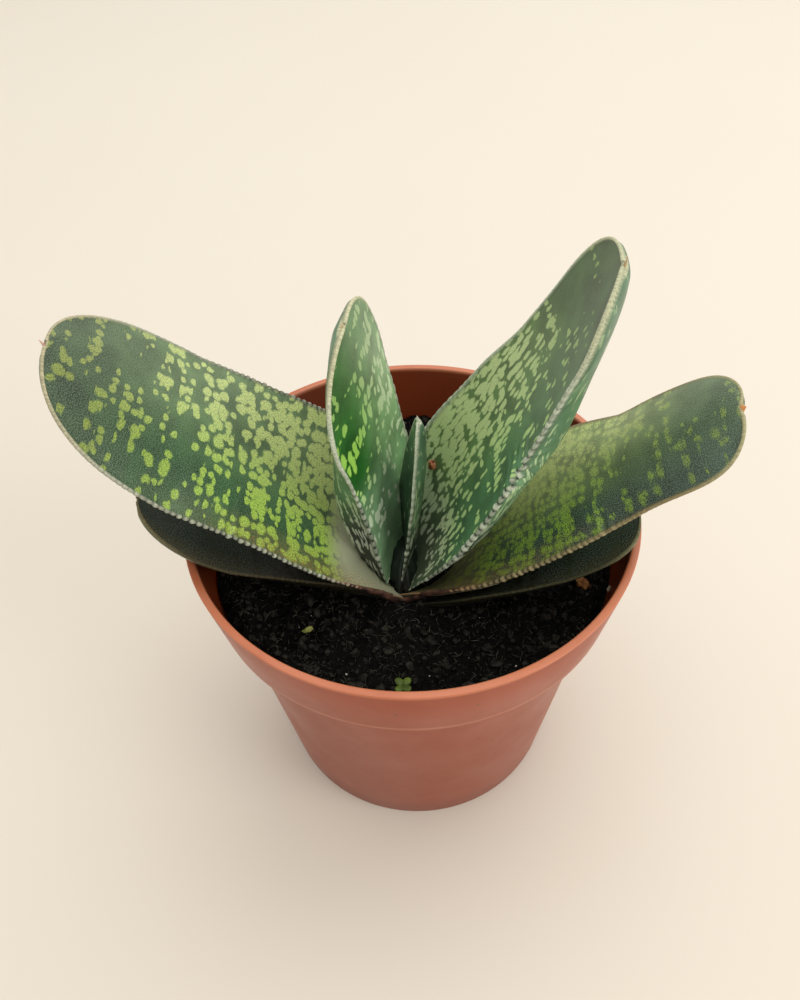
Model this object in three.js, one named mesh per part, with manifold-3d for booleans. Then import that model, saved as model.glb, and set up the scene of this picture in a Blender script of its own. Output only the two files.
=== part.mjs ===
// A gasteria in its round nursery pot. Millimetres, +Z up, with the origin at the centre of the
// pot's underside. The plant is a two-ranked fan: three leaves grow on the -X side (low, broad
// and upright) and four on the +X side (low, broad, tall and the small one in the centre). Every
// leaf clasps the younger ones inside it and sits on the short stem, which is rooted in the soil.
import * as THREE from "three";
import { mergeVertices } from "three/addons/utils/BufferGeometryUtils.js";
import Module from "manifold-3d";

const wasm = await Module();
wasm.setup();

// ---------------------------------------------------------------- driving dimensions

const GAP = 0.3; // clearance between pieces that touch

const POT = {
  rimRadius: 52.5,
  height: 83,
  collarHeight: 18,
  collarFootRadius: 49.3,
  bodyTopRadius: 46,
  baseRadius: 37.2,
  wall: 1.5,
  lip: 1.8,
  floor: 1.8,
  rounding: 0.6,
  sides: 56,
  drainHoles: 6,
  drainRadius: 3.5,
  drainRing: 25,
  drainSides: 16,
};

const SOIL = {
  level: 65.5, // height of the surface at the middle of the pot
  slope: 2.5, // how much higher it lies at the back wall than in the middle
  lump: 0.55, // height of single crumbs
  swell: 0.7, // height of the broad humps
  // The humps are waves: radians along X and along Y over the pot's radius, phase and share.
  waves: [
    { x: 5.1, y: 4.3, phase: 1.3, share: 0.5 },
    { x: 5.1, y: -4.3, phase: 1.3, share: 0.5 },
    { x: 9.7, y: -8.1, phase: 0.4, share: 0.6 },
  ],
  reach: 50, // radius of the surface before the pot's wall trims it
  sides: 40,
  rings: 13,
  seed: 5,
};

const STEM = {
  // Radius and height, from the root end up to the growing point.
  profile: [
    [0, 43.5],
    [6, 44.5],
    [8.5, 47],
    [11, 52],
    [11.5, 58],
    [8, 65],
    [3.5, 67.5],
    [0, 68],
  ],
  sides: 16,
};

const ROOTS = {
  count: 6,
  radius: 1.5,
  taper: 0.55, // share of the radius lost at the end
  start: 3, // distance from the axis where a root begins
  top: 50, // height where it leaves the stem
  reach: [21.8, 29], // shortest and longest distance of an end from the axis
  drop: [14.4, 24], // least and greatest depth of an end under the top
  shoulder: { reach: 0.6, drop: 0.1 }, // where the course turns down, as shares of those
  sides: 5,
  steps: 5,
  seed: 11,
};

// One entry per leaf, youngest first, so that each leaf can be cut to clasp those before it.
//   rank     -1 for the -X side, +1 for the +X side
//   base     foot of the midline on the inner face; length along the midline
//   heading  compass angle of growth, at the foot and at the tip (0 is +X, 90 is +Y)
//   rise     angle above the horizontal, at the foot, halfway and at the tip
//   roll     turn about the midline, near margin downwards, at the same three places
//   widths   full width at even steps from the foot to the tip, before the tip's rounding
//   blunt    exponent of the tip's rounding; gutter  angle of the channel, at the foot and tip
//   thick    depth at the keel, at the foot, halfway and at the tip
//   keel     its place across the back at even steps, 0 the middle, 1 the near margin
const LEAVES = {
  leaf_centre: {
    rank: 1,
    base: [-2, -3, 66.5],
    length: 43,
    heading: [4, 5],
    rise: [90, 83.3, 85.6],
    roll: [-6.7, 2.4, -6],
    widths: [17, 15.7, 14.9, 13.3, 12],
    blunt: 5,
    gutter: [4, 6],
    thick: [1.6, 2.9, 2.6],
    keel: [1 / 3, 1 / 3],
    rings: 18,
  },
  leaf_left_upright: {
    rank: -1,
    base: [-1.2, 1.5, 66],
    length: 70,
    heading: [191, 234.4],
    rise: [77.4, 82.2, 73.9],
    roll: [40, 51.7, 68.1],
    widths: [27.6, 25.5, 28.4, 33.5, 32.5],
    blunt: 11,
    gutter: [8, -5],
    thick: [5, 6.8, 4],
    keel: [0.65, 0.95, 0.95, 0.55, 0.1, 0],
    rings: 30,
  },
  leaf_right_tall: {
    rank: 1,
    base: [-0.5, 1.4, 66],
    length: 94.5,
    heading: [-14.8, -35.5],
    rise: [62, 65.5, 66.5],
    roll: [27.2, 31.4, 24.2],
    widths: [28, 35.7, 33, 28, 34],
    blunt: 12.5,
    gutter: [17, 6],
    thick: [5, 7.5, 3.5],
    keel: [0.1, 0.36, 0.42, 0.42, 0.55, 0.2, 0],
    rings: 42,
  },
  leaf_left_broad: {
    rank: -1,
    base: [-6.2, 2.1, 63.2],
    length: 96,
    heading: [195.4, 193.8],
    rise: [60.6, 50.2, 51.3],
    roll: [28.7, 27, 16],
    widths: [33.5, 40, 37.6, 37.8, 36],
    blunt: 10,
    gutter: [31, -8],
    thick: [5, 6, 4],
    keel: [1 / 3, 1 / 3],
    rings: 42,
  },
  leaf_right_broad: {
    rank: 1,
    base: [5.7, -0.6, 60.2],
    length: 88.5,
    heading: [-14, -30.7],
    rise: [51, 50.8, 41.4],
    roll: [9, 25, 35],
    widths: [33.5, 35, 29.5, 24.5, 28],
    blunt: 11,
    gutter: [37, -18],
    thick: [5, 6, 4],
    keel: [1 / 3, 1 / 3],
    rings: 38,
  },
  leaf_left_low: {
    rank: -1,
    base: [-9.5, -0.5, 59.5],
    length: 62,
    heading: [185, 195.5],
    rise: [43, 35.5, 31.5],
    roll: [4, 7.5, 9],
    widths: [33, 31.5, 31, 31, 29],
    blunt: 7,
    gutter: [34, 2],
    thick: [4.5, 5, 3],
    keel: [1 / 3, 1 / 3],
    rings: 28,
  },
  leaf_right_low: {
    rank: 1,
    base: [8.5, -3.5, 60],
    length: 51.5,
    heading: [-21, -4],
    rise: [44, 36, 25],
    roll: [9.5, 7, 5],
    widths: [32, 30, 27.5, 25.5, 26.5],
    blunt: 9,
    gutter: [32, 2],
    thick: [4.5, 5, 3],
    keel: [1 / 3, 1 / 3],
    rings: 24,
  },
};

const BLADE = {
  segments: 6, // strips across a leaf's face
  edge: 1.5, // thickness of the horny margin
  ridge: 0.35, // how far it is rounded out
  bead: 0.45, // how far its beads stand out
  beadsFrom: 0.14, // the sheath below this share of the length has a plain edge
  beadsFull: 0.26,
  opened: 2 / 3, // share of the length at which the channel has the tip's angle
  keelEdge: 1 / 3, // which of the edges between the back's strips runs along the keel
  fullness: 1.5, // exponent of the back's slope from the keel to the margins
  crowding: 1.6, // how much closer the rings lie towards the tip
  spine: 0.9, // length of the small point at the tip
  tipShare: 0.05, // what is left of the width and depth where that point starts
};

const CRUMB = {
  place: [39.6, -14.2],
  size: [1.3, 1.9, 1.1],
  turn: 0.6,
  sunk: 0.5,
  rough: [0.8, 1.15], // least and greatest share of the size at a corner
  seed: 23,
};

const SEEDLING = {
  place: [-3, -38],
  height: 2.6,
  stalkRadius: 0.4,
  stalkSides: 8,
  depth: 3,
  lobes: 4,
  lobeReach: 1.35,
  lobeSize: [1.25, 1.05, 0.36],
  lobeSides: 7,
  lobeRings: 5,
};

const COLOURS = {
  pot: { color: 0xd57a52, roughness: 0.45 },
  soil: { color: 0x1e1a18, roughness: 1 },
  stem: { color: 0xb7a582, roughness: 0.8 },
  leaf: { color: 0x55753f, roughness: 0.4 },
  bark: { color: 0x9c5c2e, roughness: 0.9 },
  seedling: { color: 0x7fae4a, roughness: 0.6 },
};

// ---------------------------------------------------------------- small helpers

const { lerp, smoothstep, clamp, mapLinear } = THREE.MathUtils;
const DEGREE = Math.PI / 180;
const SAME_PLACE = 1e-4; // vertices closer than this are one

// Repeatable numbers from 0 to 1.
function seeded(seed) {
  let state = seed;
  return () => {
    state = (state * 16807) % 2147483647;
    return state / 2147483647;
  };
}

// Value at t in 0..1 on the smooth curve through equally spaced values.
function smooth(values, t) {
  const points = values.map((value, i) => new THREE.Vector3(i / (values.length - 1), value, 0));
  return new THREE.CatmullRomCurve3(points, false, "catmullrom", 0.5).getPoint(clamp(t, 0, 1)).y;
}

// Parabola through a at 0, b at one half and c at 1.
function parabola([a, b, c], t) {
  return a * (1 - t) * (1 - 2 * t) + 4 * b * t * (1 - t) + c * t * (2 * t - 1);
}

function pointsOf(profile) {
  return profile.map(([radius, z]) => new THREE.Vector2(radius, z));
}

// A lathe about Z from pairs of radius and height.
function turned(profile, sides) {
  return new THREE.LatheGeometry(pointsOf(profile), sides).rotateX(Math.PI / 2);
}

// A geometry with positions only and every shared corner as one vertex.
function joined(geometry) {
  const bare = geometry.clone();
  bare.deleteAttribute("normal");
  bare.deleteAttribute("uv");
  return mergeVertices(bare, SAME_PLACE);
}

// A closed geometry as a solid that can be joined and cut.
function solidOf(geometry) {
  const closed = joined(geometry);
  return new wasm.Manifold(
    new wasm.Mesh({
      numProp: 3,
      vertProperties: new Float32Array(closed.attributes.position.array),
      triVerts: new Uint32Array(closed.index.array),
    }),
  );
}

// The largest body of a solid, as a geometry.
function geometryOf(solid) {
  const bodies = solid.decompose().sort((a, b) => b.volume() - a.volume());
  const mesh = bodies[0].getMesh();
  const places = new THREE.BufferAttribute(new Float32Array(mesh.vertProperties), 3);
  const geometry = new THREE.BufferGeometry().setAttribute("position", places);
  geometry.setIndex(new THREE.BufferAttribute(new Uint32Array(mesh.triVerts), 1));
  geometry.computeVertexNormals();
  return geometry;
}

// Moves every vertex of a geometry to at(x, y, z).
function bend(geometry, at) {
  const position = geometry.attributes.position;
  for (let i = 0; i < position.count; i++)
    position.setXYZ(i, ...at(position.getX(i), position.getY(i), position.getZ(i)));
  return geometry;
}

// ---------------------------------------------------------------- pot

const BODY_TOP = POT.height - POT.collarHeight;

// Outer radius of the pot's body, under the collar, at a height.
function bodyRadius(z) {
  return lerp(POT.baseRadius, POT.bodyTopRadius, z / BODY_TOP);
}

// Profile of the pot's inside from the rim down to the middle of the floor, "gap" off the wall.
function potInside(gap) {
  const soft = POT.rounding;
  const floorRadius = bodyRadius(POT.floor) - POT.wall - gap;
  return [
    [POT.rimRadius - POT.lip - gap, POT.height - soft],
    [POT.collarFootRadius - POT.wall - gap, BODY_TOP + POT.wall + gap],
    [POT.bodyTopRadius - POT.wall - gap, BODY_TOP + POT.wall - soft + gap],
    [floorRadius, POT.floor + soft + gap],
    [floorRadius - soft, POT.floor + gap],
    [0, POT.floor + gap],
  ];
}

function potSolid() {
  const soft = POT.rounding;
  const outside = [
    [0, 0],
    [POT.baseRadius - soft, 0],
    [POT.baseRadius, soft],
    [POT.bodyTopRadius, BODY_TOP - soft],
    [POT.collarFootRadius - soft, BODY_TOP - soft],
    [POT.collarFootRadius, BODY_TOP],
    [POT.rimRadius, POT.height - soft],
    [POT.rimRadius - soft, POT.height],
    [POT.rimRadius - POT.lip + soft, POT.height],
  ];
  let pot = solidOf(turned([...outside, ...potInside(0), outside[0]], POT.sides));
  for (let i = 0; i < POT.drainHoles; i++) {
    const angle = (2 * Math.PI * i) / POT.drainHoles;
    const through = 4 * POT.floor;
    const hole = new THREE.CylinderGeometry(POT.drainRadius, POT.drainRadius, through, POT.drainSides);
    hole.rotateX(Math.PI / 2);
    hole.translate(POT.drainRing * Math.cos(angle), POT.drainRing * Math.sin(angle), 0);
    pot = pot.subtract(solidOf(hole));
  }
  return pot;
}

// ---------------------------------------------------------------- leaves

// The frames of a leaf at shares u of its length: the midline's point, the direction across
// towards the near margin, the inner face's normal and the growing direction.
function leafFrames(leaf) {
  const frames = [];
  const point = new THREE.Vector3(...leaf.base);
  let before = null;
  for (let ring = 0; ring <= leaf.rings; ring++) {
    const u = 1 - (1 - ring / leaf.rings) ** BLADE.crowding;
    const heading = DEGREE * lerp(leaf.heading[0], leaf.heading[1], u);
    const rise = DEGREE * parabola(leaf.rise, u);
    const roll = DEGREE * parabola(leaf.roll, u);
    const along = new THREE.Vector3(Math.cos(heading), Math.sin(heading), Math.tan(rise));
    along.normalize().multiplyScalar(Math.sign(Math.cos(rise)));
    const level = new THREE.Vector3(Math.sin(heading), -Math.cos(heading), 0);
    level.multiplyScalar(leaf.rank);
    const upright = new THREE.Vector3().crossVectors(level, along).multiplyScalar(leaf.rank);
    const across = level.clone().multiplyScalar(Math.cos(roll));
    across.addScaledVector(upright, -Math.sin(roll));
    const normal = level.clone().multiplyScalar(Math.sin(roll));
    normal.addScaledVector(upright, Math.cos(roll));
    if (before) {
      const mean = along.clone().add(before.along).multiplyScalar(0.5);
      point.addScaledVector(mean, (u - before.u) * leaf.length);
    }
    before = { u, along, across, normal, point: point.clone() };
    frames.push(before);
  }
  return frames;
}

// Place across the leaf of an edge of its back's strips, with the keel at "keel".
function acrossBack(x, keel) {
  if (x < BLADE.keelEdge) return mapLinear(x, -1, BLADE.keelEdge, -1, keel);
  return mapLinear(x, BLADE.keelEdge, 1, keel, 1);
}

// A leaf's solid: a bar bent along the frames, with its inner and outer face and its two margins
// as long sides. With "grow" it is plain-edged and that much larger all round, to cut room for
// the leaf.
function leafSolid(leaf, grow) {
  const frames = leafFrames(leaf);
  const bar = new THREE.BoxGeometry(2, 1, 2, BLADE.segments, leaf.rings, 2);
  const skin = (x, y, face) => {
    const ring = Math.round((y + 0.5) * leaf.rings);
    const { u, along, across, normal, point } = frames[ring];
    const rounding = Math.max(BLADE.tipShare, Math.sqrt(1 - u ** leaf.blunt));
    const halfWidth = (smooth(leaf.widths, u) / 2) * rounding;
    const gutter = DEGREE * lerp(leaf.gutter[0], leaf.gutter[1], Math.min(1, u / BLADE.opened));
    const depth = parabola(leaf.thick, u) * Math.sqrt(rounding);
    const edge = Math.min(BLADE.edge, depth);
    const keel = smooth(leaf.keel, u);
    // The channelled inner face in the section, its slope and the way out of it.
    const a = face < 0 ? acrossBack(leaf.rank * x, keel) : leaf.rank * x;
    const spot = new THREE.Vector2(a * Math.cos(gutter), a * a * Math.sin(gutter));
    spot.multiplyScalar(halfWidth);
    const slope = new THREE.Vector2(Math.cos(gutter), 2 * a * Math.sin(gutter)).normalize();
    const out = new THREE.Vector2(-slope.y, slope.x);
    const fromKeel = (a - keel) / (1 - Math.sign(a - keel) * keel);
    const thickness = lerp(depth, edge, Math.abs(fromKeel) ** BLADE.fullness);
    spot.addScaledVector(out, (thickness * (face - 1)) / 2 + grow * face);
    if (Math.abs(x) === 1) {
      const beading = smoothstep(u, BLADE.beadsFrom, BLADE.beadsFull) * rounding;
      const bead = grow > 0 ? BLADE.bead + grow : (ring % 2) * BLADE.bead * beading;
      const ridge = face === 0 ? BLADE.ridge * rounding : 0;
      spot.addScaledVector(slope, a * (bead + ridge));
    }
    const place = point.clone().addScaledVector(across, spot.x).addScaledVector(normal, spot.y);
    if (ring === 0) place.addScaledVector(along, -grow);
    if (ring === leaf.rings) place.addScaledVector(along, grow + (face === 0 ? BLADE.spine : 0));
    return place.toArray();
  };
  return solidOf(bend(bar, skin));
}

// The leaves, each cut back from the younger ones that it clasps, and the room they all take.
function leafSolids() {
  const solids = {};
  const room = [];
  for (const [name, leaf] of Object.entries(LEAVES)) {
    let solid = leafSolid(leaf, 0);
    for (const younger of room) solid = solid.subtract(younger);
    solids[name] = solid;
    room.push(leafSolid(leaf, GAP));
  }
  return { solids, room };
}

// ---------------------------------------------------------------- stem and roots

// A root's solid along its course; "side" is the level direction square to that course.
function rootSolid(course, side, grow) {
  const bar = new THREE.CylinderGeometry(1, 1, 1, ROOTS.sides, ROOTS.steps);
  const skin = (x, y, z) => {
    const t = y + 0.5;
    const ahead = course.getTangent(t);
    const above = new THREE.Vector3().crossVectors(ahead, side);
    const radius = ROOTS.radius * (1 - ROOTS.taper * t) + grow;
    const past = Math.abs(y) === 0.5 ? 2 * y * grow : 0;
    const place = course.getPoint(t).addScaledVector(ahead, past);
    return place.addScaledVector(side, radius * z).addScaledVector(above, radius * x).toArray();
  };
  return solidOf(bend(bar, skin));
}

function stemSolid(grow) {
  const last = STEM.profile.length - 1;
  const profile = STEM.profile.map(([radius, z], i) => {
    const past = i === 0 ? -grow : i === last ? grow : 0;
    return [radius > 0 ? radius + grow : 0, z + past];
  });
  let solid = solidOf(turned(profile, STEM.sides));
  const random = seeded(ROOTS.seed);
  for (let i = 0; i < ROOTS.count; i++) {
    const angle = (2 * Math.PI * (i + 0.5 * random())) / ROOTS.count;
    const reach = lerp(...ROOTS.reach, random());
    const drop = lerp(...ROOTS.drop, random());
    const out = new THREE.Vector3(Math.cos(angle), Math.sin(angle), 0);
    const at = (distance, depth) => out.clone().multiplyScalar(distance).setZ(ROOTS.top - depth);
    const course = new THREE.QuadraticBezierCurve3(
      at(ROOTS.start, 0),
      at(ROOTS.shoulder.reach * reach, ROOTS.shoulder.drop * drop),
      at(reach, drop),
    );
    const side = new THREE.Vector3(-out.y, out.x, 0);
    solid = solid.add(rootSolid(course, side, grow));
  }
  return solid;
}

// ---------------------------------------------------------------- soil

// Height of the soil's surface, with its broad humps.
function soilHeight(x, y) {
  const slope = (SOIL.slope * y) / POT.rimRadius;
  let humps = 0;
  for (const wave of SOIL.waves)
    humps += wave.share * Math.sin((wave.x * x + wave.y * y) / POT.rimRadius + wave.phase);
  return SOIL.level + slope + SOIL.swell * humps;
}

// The pot's inside, up to a surface of crumbs.
function soilSolid() {
  const inside = potInside(GAP);
  const cavity = turned([[0, inside[0][1]], ...inside].reverse(), POT.sides);
  const profile = [
    [0, 0],
    [SOIL.reach, 0],
  ];
  for (let ring = SOIL.rings; ring >= 0; ring--)
    profile.push([(SOIL.reach * ring) / SOIL.rings, SOIL.level]);
  const random = seeded(SOIL.seed);
  const heap = bend(joined(turned(profile, SOIL.sides)), (x, y, z) => {
    if (z < SOIL.level / 2) return [x, y, z];
    return [x, y, soilHeight(x, y) + SOIL.lump * lerp(-1, 1, random())];
  });
  return solidOf(cavity).intersect(solidOf(heap));
}

// ---------------------------------------------------------------- things on the soil

function crumbSolid(grow) {
  const random = seeded(CRUMB.seed);
  const half = new THREE.Vector3(...CRUMB.size).addScalar(grow);
  const crumb = bend(joined(new THREE.IcosahedronGeometry(1, 1)), (x, y, z) => {
    const rough = lerp(...CRUMB.rough, random());
    return new THREE.Vector3(x, y, z).multiply(half).multiplyScalar(rough).toArray();
  });
  const [x, y] = CRUMB.place;
  crumb.rotateZ(CRUMB.turn).translate(x, y, soilHeight(x, y) + CRUMB.size[2] - CRUMB.sunk);
  return solidOf(crumb);
}

function stalkSolid(grow) {
  const [x, y] = SEEDLING.place;
  const length = SEEDLING.height + SEEDLING.depth + grow;
  const radius = SEEDLING.stalkRadius + grow;
  const top = soilHeight(x, y) + SEEDLING.height;
  const stalk = new THREE.CylinderGeometry(radius, radius, length, SEEDLING.stalkSides);
  return solidOf(stalk.rotateX(Math.PI / 2).translate(x, y, top - length / 2));
}

function seedlingSolid() {
  const [x, y] = SEEDLING.place;
  const top = soilHeight(x, y) + SEEDLING.height;
  let solid = stalkSolid(0);
  for (let i = 0; i < SEEDLING.lobes; i++) {
    const lobe = new THREE.SphereGeometry(1, SEEDLING.lobeSides, SEEDLING.lobeRings);
    lobe.scale(...SEEDLING.lobeSize).translate(SEEDLING.lobeReach, 0, 0);
    lobe.rotateZ((2 * Math.PI * (i + 0.5)) / SEEDLING.lobes).translate(x, y, top);
    solid = solid.add(solidOf(lobe));
  }
  return solid;
}

// ---------------------------------------------------------------- the object

function meshOf(name, solid, { color, roughness }) {
  const material = new THREE.MeshStandardMaterial({ color, roughness, metalness: 0 });
  const mesh = new THREE.Mesh(geometryOf(solid), material);
  mesh.name = name;
  return mesh;
}

function buildGasteria() {
  const { solids, room } = leafSolids();
  let stem = stemSolid(0);
  let soil = soilSolid().subtract(stemSolid(GAP)).subtract(crumbSolid(GAP)).subtract(stalkSolid(GAP));
  for (const leafRoom of room) {
    stem = stem.subtract(leafRoom);
    soil = soil.subtract(leafRoom);
  }

  const plant = new THREE.Group();
  for (const [name, solid] of Object.entries(solids)) plant.add(meshOf(name, solid, COLOURS.leaf));
  plant.add(meshOf("stem", stem, COLOURS.stem));

  const object = new THREE.Group();
  object.add(meshOf("pot", potSolid(), COLOURS.pot));
  object.add(meshOf("soil", soil, COLOURS.soil));
  object.add(meshOf("bark_crumb", crumbSolid(0), COLOURS.bark));
  object.add(meshOf("seedling", seedlingSolid(), COLOURS.seedling));
  object.add(plant);
  return object;
}

export default buildGasteria();
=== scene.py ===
"""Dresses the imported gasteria: finely modelled leaves, pot and soil, their finishes, and a plain stage."""

import math
import random
from bisect import bisect_right

import bmesh
import bpy
from mathutils import Matrix, Vector, noise


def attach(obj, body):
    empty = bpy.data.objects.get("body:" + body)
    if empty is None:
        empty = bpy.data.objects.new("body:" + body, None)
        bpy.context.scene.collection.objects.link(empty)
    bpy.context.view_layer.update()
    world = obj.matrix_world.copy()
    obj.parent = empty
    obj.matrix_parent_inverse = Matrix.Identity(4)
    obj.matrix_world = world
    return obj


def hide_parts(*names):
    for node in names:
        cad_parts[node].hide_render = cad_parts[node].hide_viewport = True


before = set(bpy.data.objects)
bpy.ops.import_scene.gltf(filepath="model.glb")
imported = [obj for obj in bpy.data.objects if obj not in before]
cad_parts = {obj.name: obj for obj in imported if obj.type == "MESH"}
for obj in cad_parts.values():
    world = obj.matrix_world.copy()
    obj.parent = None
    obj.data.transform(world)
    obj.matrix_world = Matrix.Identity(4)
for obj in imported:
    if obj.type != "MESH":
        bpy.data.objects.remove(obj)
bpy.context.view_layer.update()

bl_info = {
    "name": "Potted gasteria",
    "version": (1, 0, 0),
    "blender": (4, 5, 0),
    "location": "View3D > Sidebar > Gasteria",
    "description": "Builds a gasteria in its nursery pot around the packed model",
    "category": "Object",
}

MM = 0.001  # sizes below are in millimetres unless a name says otherwise
FULL_TURN = 2 * math.pi
BODY = "root"


def linear(code):
    """The linear RGBA of an sRGB colour written as a hex number."""
    channels = [(code >> shift & 255) / 255 for shift in (16, 8, 0)]
    return (*[c / 12.92 if c <= 0.04045 else ((c + 0.055) / 1.055) ** 2.4 for c in channels], 1)


# ---------------------------------------------------------------- sizes of the plant

# The leaves' forms, youngest first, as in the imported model:
#   rank     -1 for the -X side, +1 for the +X side
#   base     foot of the midline on the inner face; length along the midline
#   heading  compass angle of growth, at the foot and at the tip (0 is +X, 90 is +Y)
#   rise     angle above the horizontal, at the foot, halfway and at the tip
#   roll     turn about the midline, near margin downwards, at the same three places
#   widths   full width at even steps from the foot to the tip, before the tip's rounding
#   blunt    exponent of the tip's rounding; gutter  angle of the channel, at the foot and tip
#   thick    depth at the keel, at the foot, halfway and at the tip
#   edge     thickness of the margins
#   keel     place of the keel across the back, 0 the middle, 1 the near margin, at even steps
# and what only shows close by, each at even steps from the foot to the tip:
#   cord       radius of the horny cord along the near margin, and far_cord along the far one
#   near, far  how deep the gaps between the beads of the near and of the far margin are
#   pitch      distance from bead to bead at the foot and at the tip
#   fill       how much of the skin is spotted near the near margin, fill_far near the far one
#   dirt       how much brown scurf lies along the near margin
#   pale       how much of the width, from the sheath outwards, is bleached
#   notch      depth of the dent at the tip
#   point      length, radius, dark and light colour of the dead point at the tip, or None
#   wrinkle    folds by the near margin: at what share of the length, how far spread, and height
PLAIN_LEAF = {
    "edge": 1.5, "keel": [1 / 3, 1 / 3], "cord": [0.3, 0.4, 0.4, 0.35], "far_cord": [0.3, 0.35],
    "pitch": [1.2, 1.2], "fill": [0.5, 0.5, 0.5, 0.5], "fill_far": [0.5, 0.5], "dirt": [0, 0, 0],
    "pale": [0.3, 0, 0, 0], "notch": 0, "point": None, "wrinkle": (0.5, 1, 0),
}
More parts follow.
